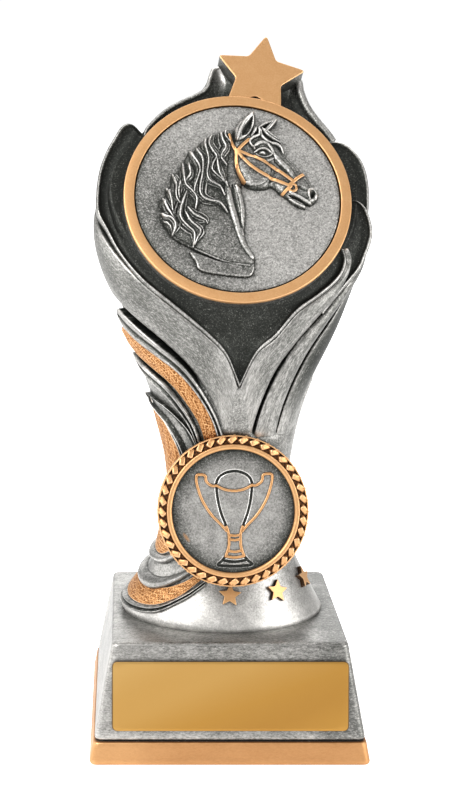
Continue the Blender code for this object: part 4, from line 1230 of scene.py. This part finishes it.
# Crest lines of the mane's locks, each from its root to its tip.
LOCKS = (
    (
        (-13.6, 9.9), (-13.3, 6.7), (-13.1, 4.2), (-12.8, 2.3), (-11.6, 0.9), (-10.6, -0.5),
        (-10.3, -1.9), (-10.7, -4.0),
    ),
    ((-16.2, 6.4), (-15.6, 4.2), (-15.1, 2.3), (-15.3, 0.1), (-15.0, -1.6), (-14.1, -2.9)),
    ((-17.9, 2.2), (-17.0, 0.7), (-16.5, -1.6), (-16.3, -4.5)),
    ((-18.5, -1.0), (-17.6, -3.5), (-16.7, -5.4), (-16.0, -6.7)),
    ((-19.2, -4.8), (-18.2, -5.9), (-16.7, -6.5), (-15.8, -7.9), (-16.0, -9.5), (-16.6, -10.8)),
    ((-11.6, 12.1), (-10.6, 9.8), (-9.6, 8.1), (-9.2, 6.4), (-9.7, 4.5), (-10.6, 2.0), (-10.8, 0.6)),
    (
        (-10.3, 13.9), (-9.5, 11.5), (-8.6, 9.8), (-8.4, 7.8), (-8.7, 5.0), (-9.3, 2.3), (-9.4, 0.1),
        (-8.5, -1.3), (-6.8, -2.0), (-4.8, -2.5), (-3.0, -4.9),
    ),
    (
        (-7.0, 16.4), (-7.6, 14.0), (-7.4, 12.0), (-7.0, 9.8), (-7.1, 7.8), (-7.5, 5.6), (-7.1, 3.6),
        (-5.6, 2.5), (-4.4, 1.7), (-3.5, -0.4),
    ),
    (
        (-5.0, 17.5), (-6.3, 15.1), (-6.6, 13.2), (-5.7, 11.2), (-5.0, 9.8), (-5.9, 8.1), (-6.2, 6.4),
        (-5.2, 5.0), (-3.8, 3.6), (-2.7, 1.9),
    ),
    ((-3.7, 17.3), (-3.3, 14.6), (-2.6, 12.6), (-3.5, 10.9), (-3.8, 9.5), (-2.6, 7.8)),
    ((-2.3, 17.7), (-2.5, 15.7), (-1.2, 13.7)),
    (
        (-12.7, 0.4), (-13.6, -1.8), (-14.3, -4.0), (-14.5, -6.0), (-13.8, -7.6), (-12.4, -9.2),
        (-11.4, -10.3), (-11.3, -12.1), (-11.6, -13.7),
    ),
    ((-13.2, -5.2), (-12.0, -7.6), (-10.6, -9.0), (-9.7, -10.1), (-10.5, -11.7), (-11.2, -13.2)),
    ((-12.6, -3.9), (-11.2, -5.7), (-9.8, -6.5), (-8.5, -7.1), (-8.0, -7.9)),
    ((-11.9, 8.0), (-11.6, 5.3), (-12.6, 3.7), (-13.1, 2.1)),
    ((-14.1, 3.2), (-14.6, 0.9), (-14.5, -1.2)),
    ((-4.9, 9.2), (-4.6, 6.1), (-4.0, 4.5), (-2.8, 2.4)),
)
FORELOCK = (
    ((6.2, 17.9), (6.7, 15.8), (7.6, 14.7), (9.1, 13.9), (10.1, 13.7)),
    ((6.8, 18.1), (8.1, 16.4), (9.3, 15.4), (11.0, 14.2)),
    ((8.0, 17.3), (9.4, 16.0), (10.7, 15.1)),
    ((8.6, 14.0), (10.2, 13.7), (11.2, 12.8), (11.6, 11.3)),
    ((5.4, 18.3), (4.6, 16.9), (4.1, 16.0)),
    ((5.9, 18.1), (6.1, 16.6), (5.5, 16.0), (4.2, 15.3), (3.5, 14.3), (3.9, 13.2), (4.6, 12.4)),
)
STRAPS = (
    ((0.3, 11.9), (4.0, 10.1), (7.3, 8.2), (10.4, 6.0), (13.2, 3.7)),
    ((0.6, 11.2), (2.8, 7.9), (5.5, 5.6), (8.7, 4.0), (12.3, 2.3)),
    ((0.0, 11.6), (-0.1, 8.6), (0.3, 5.9), (1.5, 3.3)),
    ((0.2, 11.5), (-0.9, 13.8), (-1.5, 15.8)),
    ((0.2, 11.7), (1.7, 13.4), (3.2, 14.8)),
    ((12.6, 2.4), (15.3, 4.7), (17.3, 6.0)),
    ((12.9, 2.0), (11.5, 0.8), (10.2, -0.3)),
)


def along_line(x, y, line):
    """Distance from each (x, y) to an open line, and how far along it the nearest place is."""
    best = np.full(x.shape, 1e9)
    where = np.zeros(x.shape)
    for k, ((ax, ay), (bx, by)) in enumerate(zip(line[:-1], line[1:])):
        dx, dy = bx - ax, by - ay
        t = np.clip(((x - ax) * dx + (y - ay) * dy) / (dx * dx + dy * dy), 0, 1)
        d = np.hypot(x - ax - t * dx, y - ay - t * dy)
        closer = d < best
        best = np.where(closer, d, best)
        where = np.where(closer, (k + t) / (len(line) - 1), where)
    return best, where


def near(x, y, line, reach):
    """Which points lie in the box of a line widened by a reach."""
    low, high = line.min(axis=0) - reach, line.max(axis=0) + reach
    return (x > low[0]) & (x < high[0]) & (y > low[1]) & (y < high[1])


def depth_inside(x, y, points):
    """How far each (x, y) is inside a smooth closed outline, negative outside."""
    line = smooth_line(points, closed=True)
    line = np.vstack([line, line[:1]])
    found = np.full(x.shape, -9.0)
    at = near(x, y, line, 0.5)
    px, py = x[at], y[at]
    away, _ = along_line(px, py, line)
    inside = np.zeros(px.shape, bool)
    for (ax, ay), (bx, by) in zip(line[:-1], line[1:]):
        crosses = (ay > py) != (by > py)
        with np.errstate(divide="ignore", invalid="ignore"):
            inside ^= crosses & (px < ax + (py - ay) / (by - ay) * (bx - ax))
    found[at] = np.where(inside, away, -away)
    return found


def dome(depth, width, height):
    """Height of a surface that rises from an outline over a width, then stays level."""
    t = np.clip(1 - depth / width, 0, 1)
    return np.where(depth > 0, height * np.sqrt(1 - t * t), -1.0)


def ridge(x, y, points, width, height, taper=0.55, sharp=1.0):
    """Height of a line that narrows towards both ends, most at its tip, and nothing away from it."""
    line = smooth_line(points)
    found = np.zeros(x.shape)
    at = near(x, y, line, width)
    away, along = along_line(x[at], y[at], line)
    half = width * (1 - taper * along) * (0.45 + 0.55 * ease(along / 0.15))
    found[at] = height * (1 - 0.3 * along) * np.clip(1 - (away / half) ** 2, 0, 1) ** (0.5 + 0.5 * sharp)
    return found


def bump(x, y, cx, cy, rx, ry, height, turn=0.0):
    s, c = math.sin(math.radians(turn)), math.cos(math.radians(turn))
    u, v = (x - cx) * c + (y - cy) * s, (y - cy) * c - (x - cx) * s
    return height * np.exp(-((u / rx) ** 2) - (v / ry) ** 2)


def beside(points, offset):
    """The line moved sideways by an offset that fades at its ends."""
    line = smooth_line(points, share=3)
    forward = np.gradient(line, axis=0)
    forward /= np.linalg.norm(forward, axis=1)[:, None]
    fade = np.sin(math.pi * np.linspace(0.08, 1, len(line)))[:, None]
    return line + offset * fade * np.column_stack([-forward[:, 1], forward[:, 0]])


NECK_MUSCLE = (
    (-2.8, 2.8), (-2.5, 0.0), (-1.9, -3.3), (-1.1, -6.6), (0.0, -10.7), (1.1, -13.7), (2.7, -16.1),
)
NECK_FRONT = ((-0.4, 2.4), (0.6, 0.6), (1.0, -2.2), (1.1, -5.0), (0.8, -7.7), (1.0, -10.4))
THROAT_GROOVE = ((-1.4, 2.6), (-1.0, -1.0), (-0.5, -4.0), (0.3, -8.5))
NECK_BORDER = (
    (-18.4, -8.9), (-17.0, -10.6), (-14.7, -12.4), (-11.6, -14.1), (-8.9, -15.5), (-5.5, -17.1),
    (-2.1, -18.2), (1.8, -18.8),
)
# Finer strands beside each lock: how far from it, and their height.
SIDE_STRANDS = ((0.62, 0.6), (-0.6, 0.55), (1.15, 0.42), (-1.1, 0.4))


def lock_heights(x, y, lock, number):
    """A wavy lock of hair: one broad strand with finer ones beside it, all run out at its tip."""
    found = ridge(x, y, lock, 0.55, 1.0, 0.55, 0.5)
    for k, (offset, height) in enumerate(SIDE_STRANDS):
        wander = offset * (1 + 0.3 * math.sin(2.7 * number + 5.3 * k))
        found = np.maximum(found, ridge(x, y, beside(lock, wander), 0.34, height, 0.5, 0.5))
    return found


def neck_and_mane(x, y):
    """Height of the neck with the mane's locks over it, and where the hair lies."""
    neck = dome(depth_inside(x, y, NECK), 3.4, 1.5)
    form = bump(x, y, -5.5, -9.0, 4.5, 4.0, 0.45, -35)
    form += ridge(x, y, NECK_MUSCLE, 1.0, 0.75, 0.1, 0.6)
    form += ridge(x, y, NECK_FRONT, 0.9, 0.5, 0.2, 0.4)
    form -= ridge(x, y, THROAT_GROOVE, 0.7, 0.35, 0.2)
    mane = dome(depth_inside(x, y, MANE_MASS), 1.2, 0.5)
    strands = np.zeros(x.shape)
    for k, lock in enumerate(LOCKS):
        strands = np.maximum(strands, lock_heights(x, y, lock, k))
    hair = np.maximum(strands, 0) + np.maximum(mane, 0)
    form += ridge(x, y, NECK_BORDER, 0.5, 0.5, 0.0, 0.5)
    return np.where(neck > 0, neck + form + hair, neck), np.where(mane > 0, 1.0, strands * 2)


# Ridges of the head, and grooves where the height is below 0: line, width, height and taper.
HEAD_RIDGES = (
    # Jaw and its hollow.
    (((1.9, 3.3), (3.6, 2.7), (5.9, 2.6), (7.0, 3.2), (7.6, 4.4)), 0.6, 0.15, 0.2),
    (((7.9, 3.4), (8.8, 4.8), (9.6, 6.6)), 0.9, -0.3, 0.2),
    # Cheekbone, the groove under it, and the bridge of the nose.
    (((9.4, 10.6), (10.6, 8.7), (12.2, 7.2), (13.1, 5.9), (13.9, 4.4)), 0.9, 0.4, 0.3),
    (((9.2, 9.4), (10.6, 7.4), (12.0, 5.9)), 0.6, -0.25, 0.3),
    (((11.2, 12.1), (12.4, 10.6), (14.0, 8.5), (16.3, 5.6), (18.3, 1.9)), 0.8, 0.3, 0.2),
    # Upper lid, lower lid, brow and the fold under the eye.
    (((4.4, 11.3), (5.7, 12.3), (6.9, 12.5), (8.0, 12.0), (8.8, 10.9)), 0.34, 0.5, 0.1),
    (((4.9, 11.0), (5.7, 10.45), (7.2, 10.2), (8.8, 10.7)), 0.3, 0.4, 0.1),
    (((4.2, 12.7), (5.9, 14.0), (7.6, 13.9), (8.7, 12.6), (9.2, 11.0)), 0.55, 0.5, 0.1),
    (((4.4, 10.2), (5.6, 9.3), (7.2, 8.9), (9.0, 9.6)), 0.4, 0.25, 0.1),
    # Edge of the nostril.
    (((17.4, -1.2), (17.1, 0.2), (17.6, 1.2), (18.6, 1.4), (19.2, 0.4), (19.0, -1.2)), 0.42, 0.5, 0.1),
    # Mouth, upper lip, lower lip and the fold behind the nostril.
    (((12.4, -0.2), (14.3, -1.25), (15.8, -2.2), (17.3, -3.1)), 0.42, -0.9, 0.1),
    (((12.4, 0.5), (13.6, -0.1), (15.2, -1.0), (16.8, -1.9), (17.9, -2.7)), 0.4, 0.4, 0.1),
    (((12.3, -1.1), (13.5, -2.0), (15.0, -2.9), (16.4, -3.3)), 0.4, 0.35, 0.1),
    (((14.2, 2.0), (15.6, 1.4), (16.4, 0.8)), 0.6, -0.3, 0.1),
)
# Eye socket, eyeball, muzzle and nostril: middle, two radii, height and turn.
HEAD_BUMPS = (
    (6.5, 11.3, 1.9, 1.2, -0.75, -10),
    (6.55, 11.35, 0.75, 0.55, 0.85, -8),
    (17.2, 0.6, 1.6, 1.2, 0.35, -30),
    (18.1, -0.1, 0.5, 0.85, -1.3, -25),
)
CHEEK = (4.0, 6.4, 4.3, 4.0, 0.75)


def head_form(x, y):
    """Height of the head, with its cheek, bones, eye, nostril and mouth."""
    head = dome(depth_inside(x, y, HEAD), 2.6, 1.7)
    middle_x, middle_y, radius_x, radius_y, rise = CHEEK
    away = np.hypot((x - middle_x) / radius_x, (y - middle_y) / radius_y)
    form = rise * np.sqrt(np.clip(1 - away**2, 0, 1))
    for line, width, height, taper in HEAD_RIDGES:
        form += ridge(x, y, line, width, height, taper)
    for values in HEAD_BUMPS:
        form += bump(x, y, *values)
    return np.where(head > 0, head + form, head)


# Each ear: outline, hollow, height and the line of its edge.
EARS = (
    (FAR_EAR, FAR_EAR_HOLLOW, 1.5, ((7.6, 16.9), (9.4, 18.9), (10.7, 20.8))),
    (NEAR_EAR, NEAR_EAR_HOLLOW, 2.2, ((0.4, 14.7), (0.9, 16.4), (1.7, 18.5), (2.9, 20.5), (4.9, 22.7))),
)
HAIR_BASE = 1.2


def ears_and_forelock(x, y, below):
    """The given heights with the ears and the hair between them laid over."""
    found = below
    for outline, hollow, base, line in EARS:
        ear = dome(depth_inside(x, y, outline), 0.8, base)
        inner = np.clip(depth_inside(x, y, hollow) / 0.6, 0, 1)
        ear = np.where(ear > 0, ear - 1.3 * inner + ridge(x, y, line, 0.45, 0.4, 0.3), ear)
        found = np.maximum(found, ear)
    top = np.zeros(x.shape)
    for lock in FORELOCK:
        top = np.maximum(top, ridge(x, y, lock, 0.55, 1.0, 0.5, 0.7))
    return np.where(top > 0.05, np.maximum(found, HAIR_BASE) + top * 0.75, found)


STRAP_HALF_WIDTH = 0.46
BIT_RING = (13.3, 1.6, 0.95)
BUCKLE = (0.2, 11.6, 0.8)


def strap_mask(x, y):
    """Height share of the bridle's straps, bit ring and buckle, 1 on them and 0 away from them."""
    found = np.zeros(x.shape)
    for strap in STRAPS:
        line = smooth_line(strap)
        at = near(x, y, line, 0.8)
        away, _ = along_line(x[at], y[at], line)
        found[at] = np.maximum(found[at], np.clip((STRAP_HALF_WIDTH - away) / 0.14, 0, 1))
    middle_x, middle_y, radius = BIT_RING
    from_ring = np.abs(np.hypot(x - middle_x, y - middle_y) - radius)
    found = np.maximum(found, np.clip((0.36 - from_ring) / 0.12, 0, 1))
    middle_x, middle_y, radius = BUCKLE
    return np.maximum(found, np.clip((radius - np.hypot(x - middle_x, y - middle_y)) / 0.2, 0, 1))


def blurred(values, step, radius):
    """The grid of values averaged over a Gaussian of a radius."""
    reach = int(3 * radius / step)
    weights = np.exp(-((np.arange(-reach, reach + 1) * step / radius) ** 2) / 2)
    weights /= weights.sum()
    for axis in (0, 1):
        values = np.apply_along_axis(lambda row: np.convolve(row, weights, mode="same"), axis, values)
    return values


def horse_relief(look):
    """The horse as a sheet of heights, kept where it stands out of the disc."""
    step = 0.12
    xs, ys = np.arange(-20.6, 21.0, step), np.arange(-22.4, 24.0, step)
    x, y = np.meshgrid(xs, ys, indexing="ij")
    neck, hair = neck_and_mane(x, y)
    height = np.maximum(np.maximum(neck, head_form(x, y)), dome(depth_inside(x, y, SLAB), 0.5, 0.9))
    height = ears_and_forelock(x, y, height)
    straps = strap_mask(x, y) * (height > 0.2)
    height = np.maximum(height + 0.35 * straps, -0.3)
    body = height > 0.05
    solid = np.where(body, height, 0)
    fine, wide = (
        blurred(solid, step, radius) / np.maximum(blurred(1.0 * body, step, radius), 0.05)
        for radius in (0.2, 0.5)
    )
    deep = 1.7 * (wide - height) + 2.0 * (fine - height)
    # Painted shade along the relief's outline, where it meets the disc.
    outline_shade = np.clip(1 - height / 0.6, 0, 1)
    mottle = 0.5 - cells(x, y, 1.1, 0.9)
    soot = 0.58 + 0.33 * np.clip(hair, 0, 1) + np.clip(deep, -1, 0.5) + 0.5 * outline_shade
    soot -= 0.35 * mottle * (hair < 0.1)
    soot = np.clip(soot, 0, 1.2) * (1 - np.clip(straps * 1.5, 0, 1))
    inside = height > -0.29
    keep = inside.copy()
    for axis in (0, 1):
        for shift in (-1, 1):
            keep |= np.roll(inside, shift, axis)
    height = height - MEDALLION_SINK
    gilt = straps > 0.5
    return sheet_piece("horse_relief", x, y, height, keep, gilt, soot, look, LEVEL_FACE)


def medallion_disc(look):
    """The thin disc behind the horse, a little darker to the lower left."""
    front = -MEDALLION_SINK
    radius = MEDALLION_RADIUS
    corners = [(0, front)] + [(r, front) for r in np.linspace(2, radius - 1.2, 14)]
    back = front - MEDALLION_THICKNESS
    corners += [(radius, front), (radius, back), (0, back)]
    profile = rounded(corners, 0.2, 3)
    soot = np.clip((profile[:, 0] - radius + 0.5) / 0.5, 0, 1) * 0.5
    shell = lathe(profile, 240, LEVEL_FACE, 0.0, soot)
    x, y, _ = shell.brushing.T / radius
    shell.soot = shell.soot + 0.5 * ease(0.2 - 0.75 * x - 0.35 * y) + 0.12 * ease(x + y - 0.3)
    made = piece("medallion_disc", [shell], look)
    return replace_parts(made, "horse_medallion")


# Wear and painted shade. Rays from each point tell hollows, painted darker as shade and patina, and the
# bend of the surface tells worn edges.
def ray_directions(count):
    """Directions spread evenly over the whole sphere."""
    k = np.arange(count) + 0.5
    z = 1 - 2 * k / count
    around = math.pi * (1 + 5**0.5) * k
    flat = np.sqrt(1 - z * z)
    return np.column_stack([flat * np.cos(around), flat * np.sin(around), z])


def points_of(mesh):
    points = np.empty(len(mesh.vertices) * 3, np.float32)
    mesh.vertices.foreach_get("co", points)
    normals = np.empty(len(mesh.vertices) * 3, np.float32)
    mesh.vertex_normals.foreach_get("vector", normals)
    return points.reshape(-1, 3).astype(float), normals.reshape(-1, 3).astype(float)


def bend_of(mesh, points, normals):
    """How strongly the surface bends at each point, in 1 / mm, positive on edges that stand out."""
    edges = np.empty(len(mesh.edges) * 2, np.int32)
    mesh.edges.foreach_get("vertices", edges)
    a, b = edges.reshape(-1, 2).T
    found = np.zeros(len(points))
    weight = np.full(len(points), 1e-9)
    for i, j in ((a, b), (b, a)):
        away = (points[i] - points[j]) / MM
        size = np.maximum((away**2).sum(axis=1), 1e-4)
        np.add.at(found, i, 2 * (normals[i] * away).sum(axis=1) / np.sqrt(size))
        np.add.at(weight, i, np.sqrt(size))
    return found / weight


OCCLUSION_REACH = 6.0 * MM
OCCLUSION_RAYS = 40
OCCLUSION_START = 0.08 * MM
MOST_BEND = 4.0


def wear_and_shade(pieces):
    """Store on every point how shut in it is, which the paint shows as painted shade and patina, and how
    sharply its surface bends.
    """
    rays = ray_directions(OCCLUSION_RAYS)
    corners, faces, start = [], [], 0
    for made in pieces:
        points, _ = points_of(made.data)
        corners.append(points)
        faces += [tuple(v + start for v in face.vertices) for face in made.data.polygons]
        start += len(points)
    solid = BVHTree.FromPolygons(np.concatenate(corners).tolist(), faces)
    directions = [Vector(ray) for ray in rays]
    for made in pieces:
        mesh = made.data
        points, normals = points_of(mesh)
        bend = bend_of(mesh, points, normals)
        facing = normals @ rays.T
        shut = np.zeros(len(points))
        starts = points + normals * OCCLUSION_START
        for k, begin in enumerate(starts.tolist()):
            begin = Vector(begin)
            met = total = 0.0
            for r in np.flatnonzero(facing[k] > 0.2):
                share = facing[k, r]
                total += share
                distance = solid.ray_cast(begin, directions[r], OCCLUSION_REACH)[3]
                if distance is not None:
                    met += share * (1 - 0.6 * distance / OCCLUSION_REACH)
            shut[k] = met / max(total, 1e-6)
        crisp = np.empty(len(points), np.float32)
        mesh.attributes["crisp"].data.foreach_get("value", crisp)
        bend = np.clip(bend, -MOST_BEND, MOST_BEND)
        for key, values in (("shut", shut * crisp), ("bend", bend * crisp)):
            store(mesh, key, values)


SILVER_STOPS = (
    (0.0, (0.010, 0.011, 0.009)),
    (0.25, (0.035, 0.0368, 0.0315)),
    (0.5, (0.142, 0.141, 0.131)),
    (0.75, (0.425, 0.413, 0.392)),
    (1.0, (0.81, 0.79, 0.755)),
)
GOLD_STOPS = (
    (0.0, (0.035, 0.012, 0.003)),
    (0.35, (0.24, 0.088, 0.02)),
    (0.7, (0.56, 0.305, 0.13)),
    (1.0, (0.82, 0.55, 0.31)),
)
PLATE_STOPS = (
    (0.0, (0.29, 0.135, 0.021)),
    (0.5, (0.37, 0.19, 0.034)),
    (1.0, (0.48, 0.29, 0.09)),
)
PLATE_EDGE = (0.05, 0.03, 0.015)


def antique_paint(name, level=0.61, grain=1.0, rubbed=1.0, clouds=0.35):
    """Antique silver with dark hollows of patina and painted shade, painted shine where the darkening is
    below 0, worn edges, and gold paint where the piece is gilded.
    """
    shader = Shader(name)
    gilt = shader.attribute("gilt")
    soot = shader.attribute("soot")
    shut = shader.attribute("shut")
    bend = shader.attribute("bend")
    brushing = shader.attribute("brushing", "Vector")
    fine = shader.noise(brushing, 2.2, 5.0, 0.75)
    broad = shader.noise(brushing, 0.35, 3.0, 0.6)
    speck = shader.noise(brushing, 5.0, 2.0, 0.6)
    # Painted shine, lighter and smoother, where the darkening value is below 0.
    painted_shine = (soot * -1.0).clamped()
    speckle = ((fine - 0.5) * 1.7 + (speck - 0.5) * 0.9) * (1 - painted_shine * 0.8)
    # Darkening: patina and painted shade from the stored value, and painted shade and patina from how
    # shut in each point is.
    dark = (soot * 0.8 + shut * 0.6 - 0.06).clamped()
    edge = (bend * 0.5 - 0.1).clamped() * rubbed
    dip = (bend * -0.4).clamped()
    fleck = ((fine + speck - 1.05) * 4.0).clamped()
    tone = level + painted_shine * 0.3 + speckle * grain * 0.5 + (broad - 0.5) * clouds
    tone = (tone + edge * 0.35 - dark * (0.72 - fleck * 0.42) - dip * 0.3).clamped()
    silver = shader.ramp(tone, SILVER_STOPS)
    rub = 0.72 + speckle * 0.12 + (broad - 0.5) * 0.1
    rub = (rub + edge * 0.25 - dark * 0.8 - dip * 0.25).clamped()
    gold = shader.ramp(rub, GOLD_STOPS)
    colour = shader.mixed(gilt, silver, gold)
    roughness = 0.38 + speckle * 0.14 + dark * 0.2 + gilt * 0.06 + painted_shine * 0.06
    metallic = 0.85 - dark * 0.15
    normal = shader.bumped(fine * 0.6 + speck * 0.4, 0.3, 0.00008)
    return shader.finish(Base_Color=colour, Roughness=roughness, Metallic=metallic, Normal=normal)


def plate_gold(name):
    """Satin gold plate with broad soft bands of painted sheen across it, and painted light that makes it
    lighter to the left and towards the top.
    """
    shader = Shader(name)
    place = shader.add("ShaderNodeTexCoord", output="Object")
    x, _, z = shader.outputs_of(shader.add("ShaderNodeSeparateXYZ", None, [place]))
    slope = x * 14.0 - z * 30.0
    sheen_streaks = {"W": slope, "Scale": 1.6, "Detail": 1.0}
    band = shader.add("ShaderNodeTexNoise", dict(noise_dimensions="1D"), sheen_streaks)
    # Painted light: lighter to the left and towards the top, with painted sheen bands.
    tone = (0.62 - x * 4.5 + (z - 0.015) * 16.0 + (band - 0.5) * 0.9).clamped()
    colour = shader.mixed(shader.attribute("soot"), shader.ramp(tone, PLATE_STOPS), PLATE_EDGE)
    fine = shader.noise(place, 9000.0, 2.0, 0.5)
    return shader.finish(Base_Color=colour, Roughness=0.34 + (fine - 0.5) * 0.06, Metallic=0.7)


def floor_look():
    shader = Shader("pale_floor")
    place = shader.add("ShaderNodeTexCoord", output="Object")
    drift = shader.noise(place, 3.0, 2.0, 0.5)
    colour = shader.ramp(drift, ((0.0, (0.90, 0.90, 0.90)), (1.0, (0.93, 0.93, 0.93))))
    seen = shader.add("ShaderNodeLightPath")
    glow = shader.mixed(seen, (0.35, 0.35, 0.35), (0.85, 0.85, 0.85))
    return shader.finish(Base_Color=colour, Roughness=0.7, Emission_Color=glow, Emission_Strength=1.0)


# Studio. Each light: name, place in metres, size and power in watts.
LIGHTS = (
    ("key", (-0.42, -0.42, 0.55), (0.5, 0.5), 6.6),
    ("left", (-0.6, 0.1, 0.12), (0.5, 0.4), 1.5),
    ("right", (0.5, -0.30, 0.22), (0.3, 0.5), 2.8),
    ("top", (0.05, 0.25, 0.7), (0.6, 0.3), 2.0),
    ("back", (0.0, 1.1, 0.42), (1.4, 0.5), 5.5),
)
LIT_POINT = (0.0, 0.0, 0.09)
ROOM_GREY = (0.5, 0.5, 0.5)
BACKDROP_WHITE = (1.05, 1.05, 1.05)
FLOOR_SIZE = 3.0
FLOOR_DROP = 0.0002


def soft_light(name, place, size, power):
    data = bpy.data.lights.new(name, "AREA")
    data.shape = "RECTANGLE"
    data.size, data.size_y = size
    data.energy = power
    light = bpy.data.objects.new(name, data)
    light.location = place
    light.rotation_euler = (Vector(LIT_POINT) - Vector(place)).to_track_quat("-Z", "Y").to_euler()
    bpy.context.scene.collection.objects.link(light)


def room():
    """A soft grey room that the camera sees as a white backdrop."""
    world = bpy.data.worlds.new("studio")
    world.use_nodes = True
    tree = Tree(world.node_tree)
    seen = tree.add("ShaderNodeLightPath")
    colour = tree.mixed(seen, ROOM_GREY, BACKDROP_WHITE)
    light = tree.add("ShaderNodeBackground", None, {"Color": colour, "Strength": 1.0})
    tree.add("ShaderNodeOutputWorld", None, {"Surface": light})
    bpy.context.scene.world = world


def pale_floor():
    sheet = bmesh.new()
    bmesh.ops.create_grid(sheet, x_segments=2, y_segments=2, size=FLOOR_SIZE)
    mesh = bpy.data.meshes.new("floor")
    sheet.to_mesh(mesh)
    sheet.free()
    mesh.materials.append(floor_look())
    floor = bpy.data.objects.new("floor", mesh)
    floor.location = (0, 0, -FLOOR_DROP)
    bpy.context.scene.collection.objects.link(floor)


def studio():
    bpy.context.scene.view_settings.view_transform = "Standard"
    room()
    for values in LIGHTS:
        soft_light(*values)
    pale_floor()


# The photograph's view, measured in its own pixels, with places in metres.
PHOTO_WIDTH = 449
PHOTO_HEIGHT = 800
FOCAL_PIXELS = 1547.254
MIDDLE_PIXEL = 126.741
CAMERA_PLACE = (-0.025617, -0.386641, 0.173700)
CAMERA_DIP = 12.8588
SENSOR = 36.0


def camera():
    data = bpy.data.cameras.new("camera")
    data.sensor_width = SENSOR
    data.lens = FOCAL_PIXELS / PHOTO_HEIGHT * data.sensor_width
    data.shift_x = (PHOTO_WIDTH / 2 - MIDDLE_PIXEL) / PHOTO_HEIGHT
    made = bpy.data.objects.new("camera", data)
    made.location = CAMERA_PLACE
    made.rotation_euler = (math.radians(90 - CAMERA_DIP), 0, 0)
    bpy.context.scene.collection.objects.link(made)
    bpy.context.scene.camera = made


def build():
    casting = antique_paint("antique_silver_and_gold")
    medal = antique_paint("medallion_silver", level=0.76, grain=1.3, rubbed=0.25, clouds=0.15)
    camera()
    studio()
    plinth(casting)
    core(casting)
    petals(casting)
    inner_faces(casting)
    ribbons(casting)
    upper_frame(casting)
    big_star(casting)
    small_stars(casting)
    lower_frame(casting)
    rope_edge(casting)
    cup_relief(casting)
    medallion_disc(medal)
    horse_relief(medal)
    engraving_plate(plate_gold("plate_gold_painted_sheen"))
    wear_and_shade([made for made in PIECES if made.name != "engraving_plate_face"])


build()
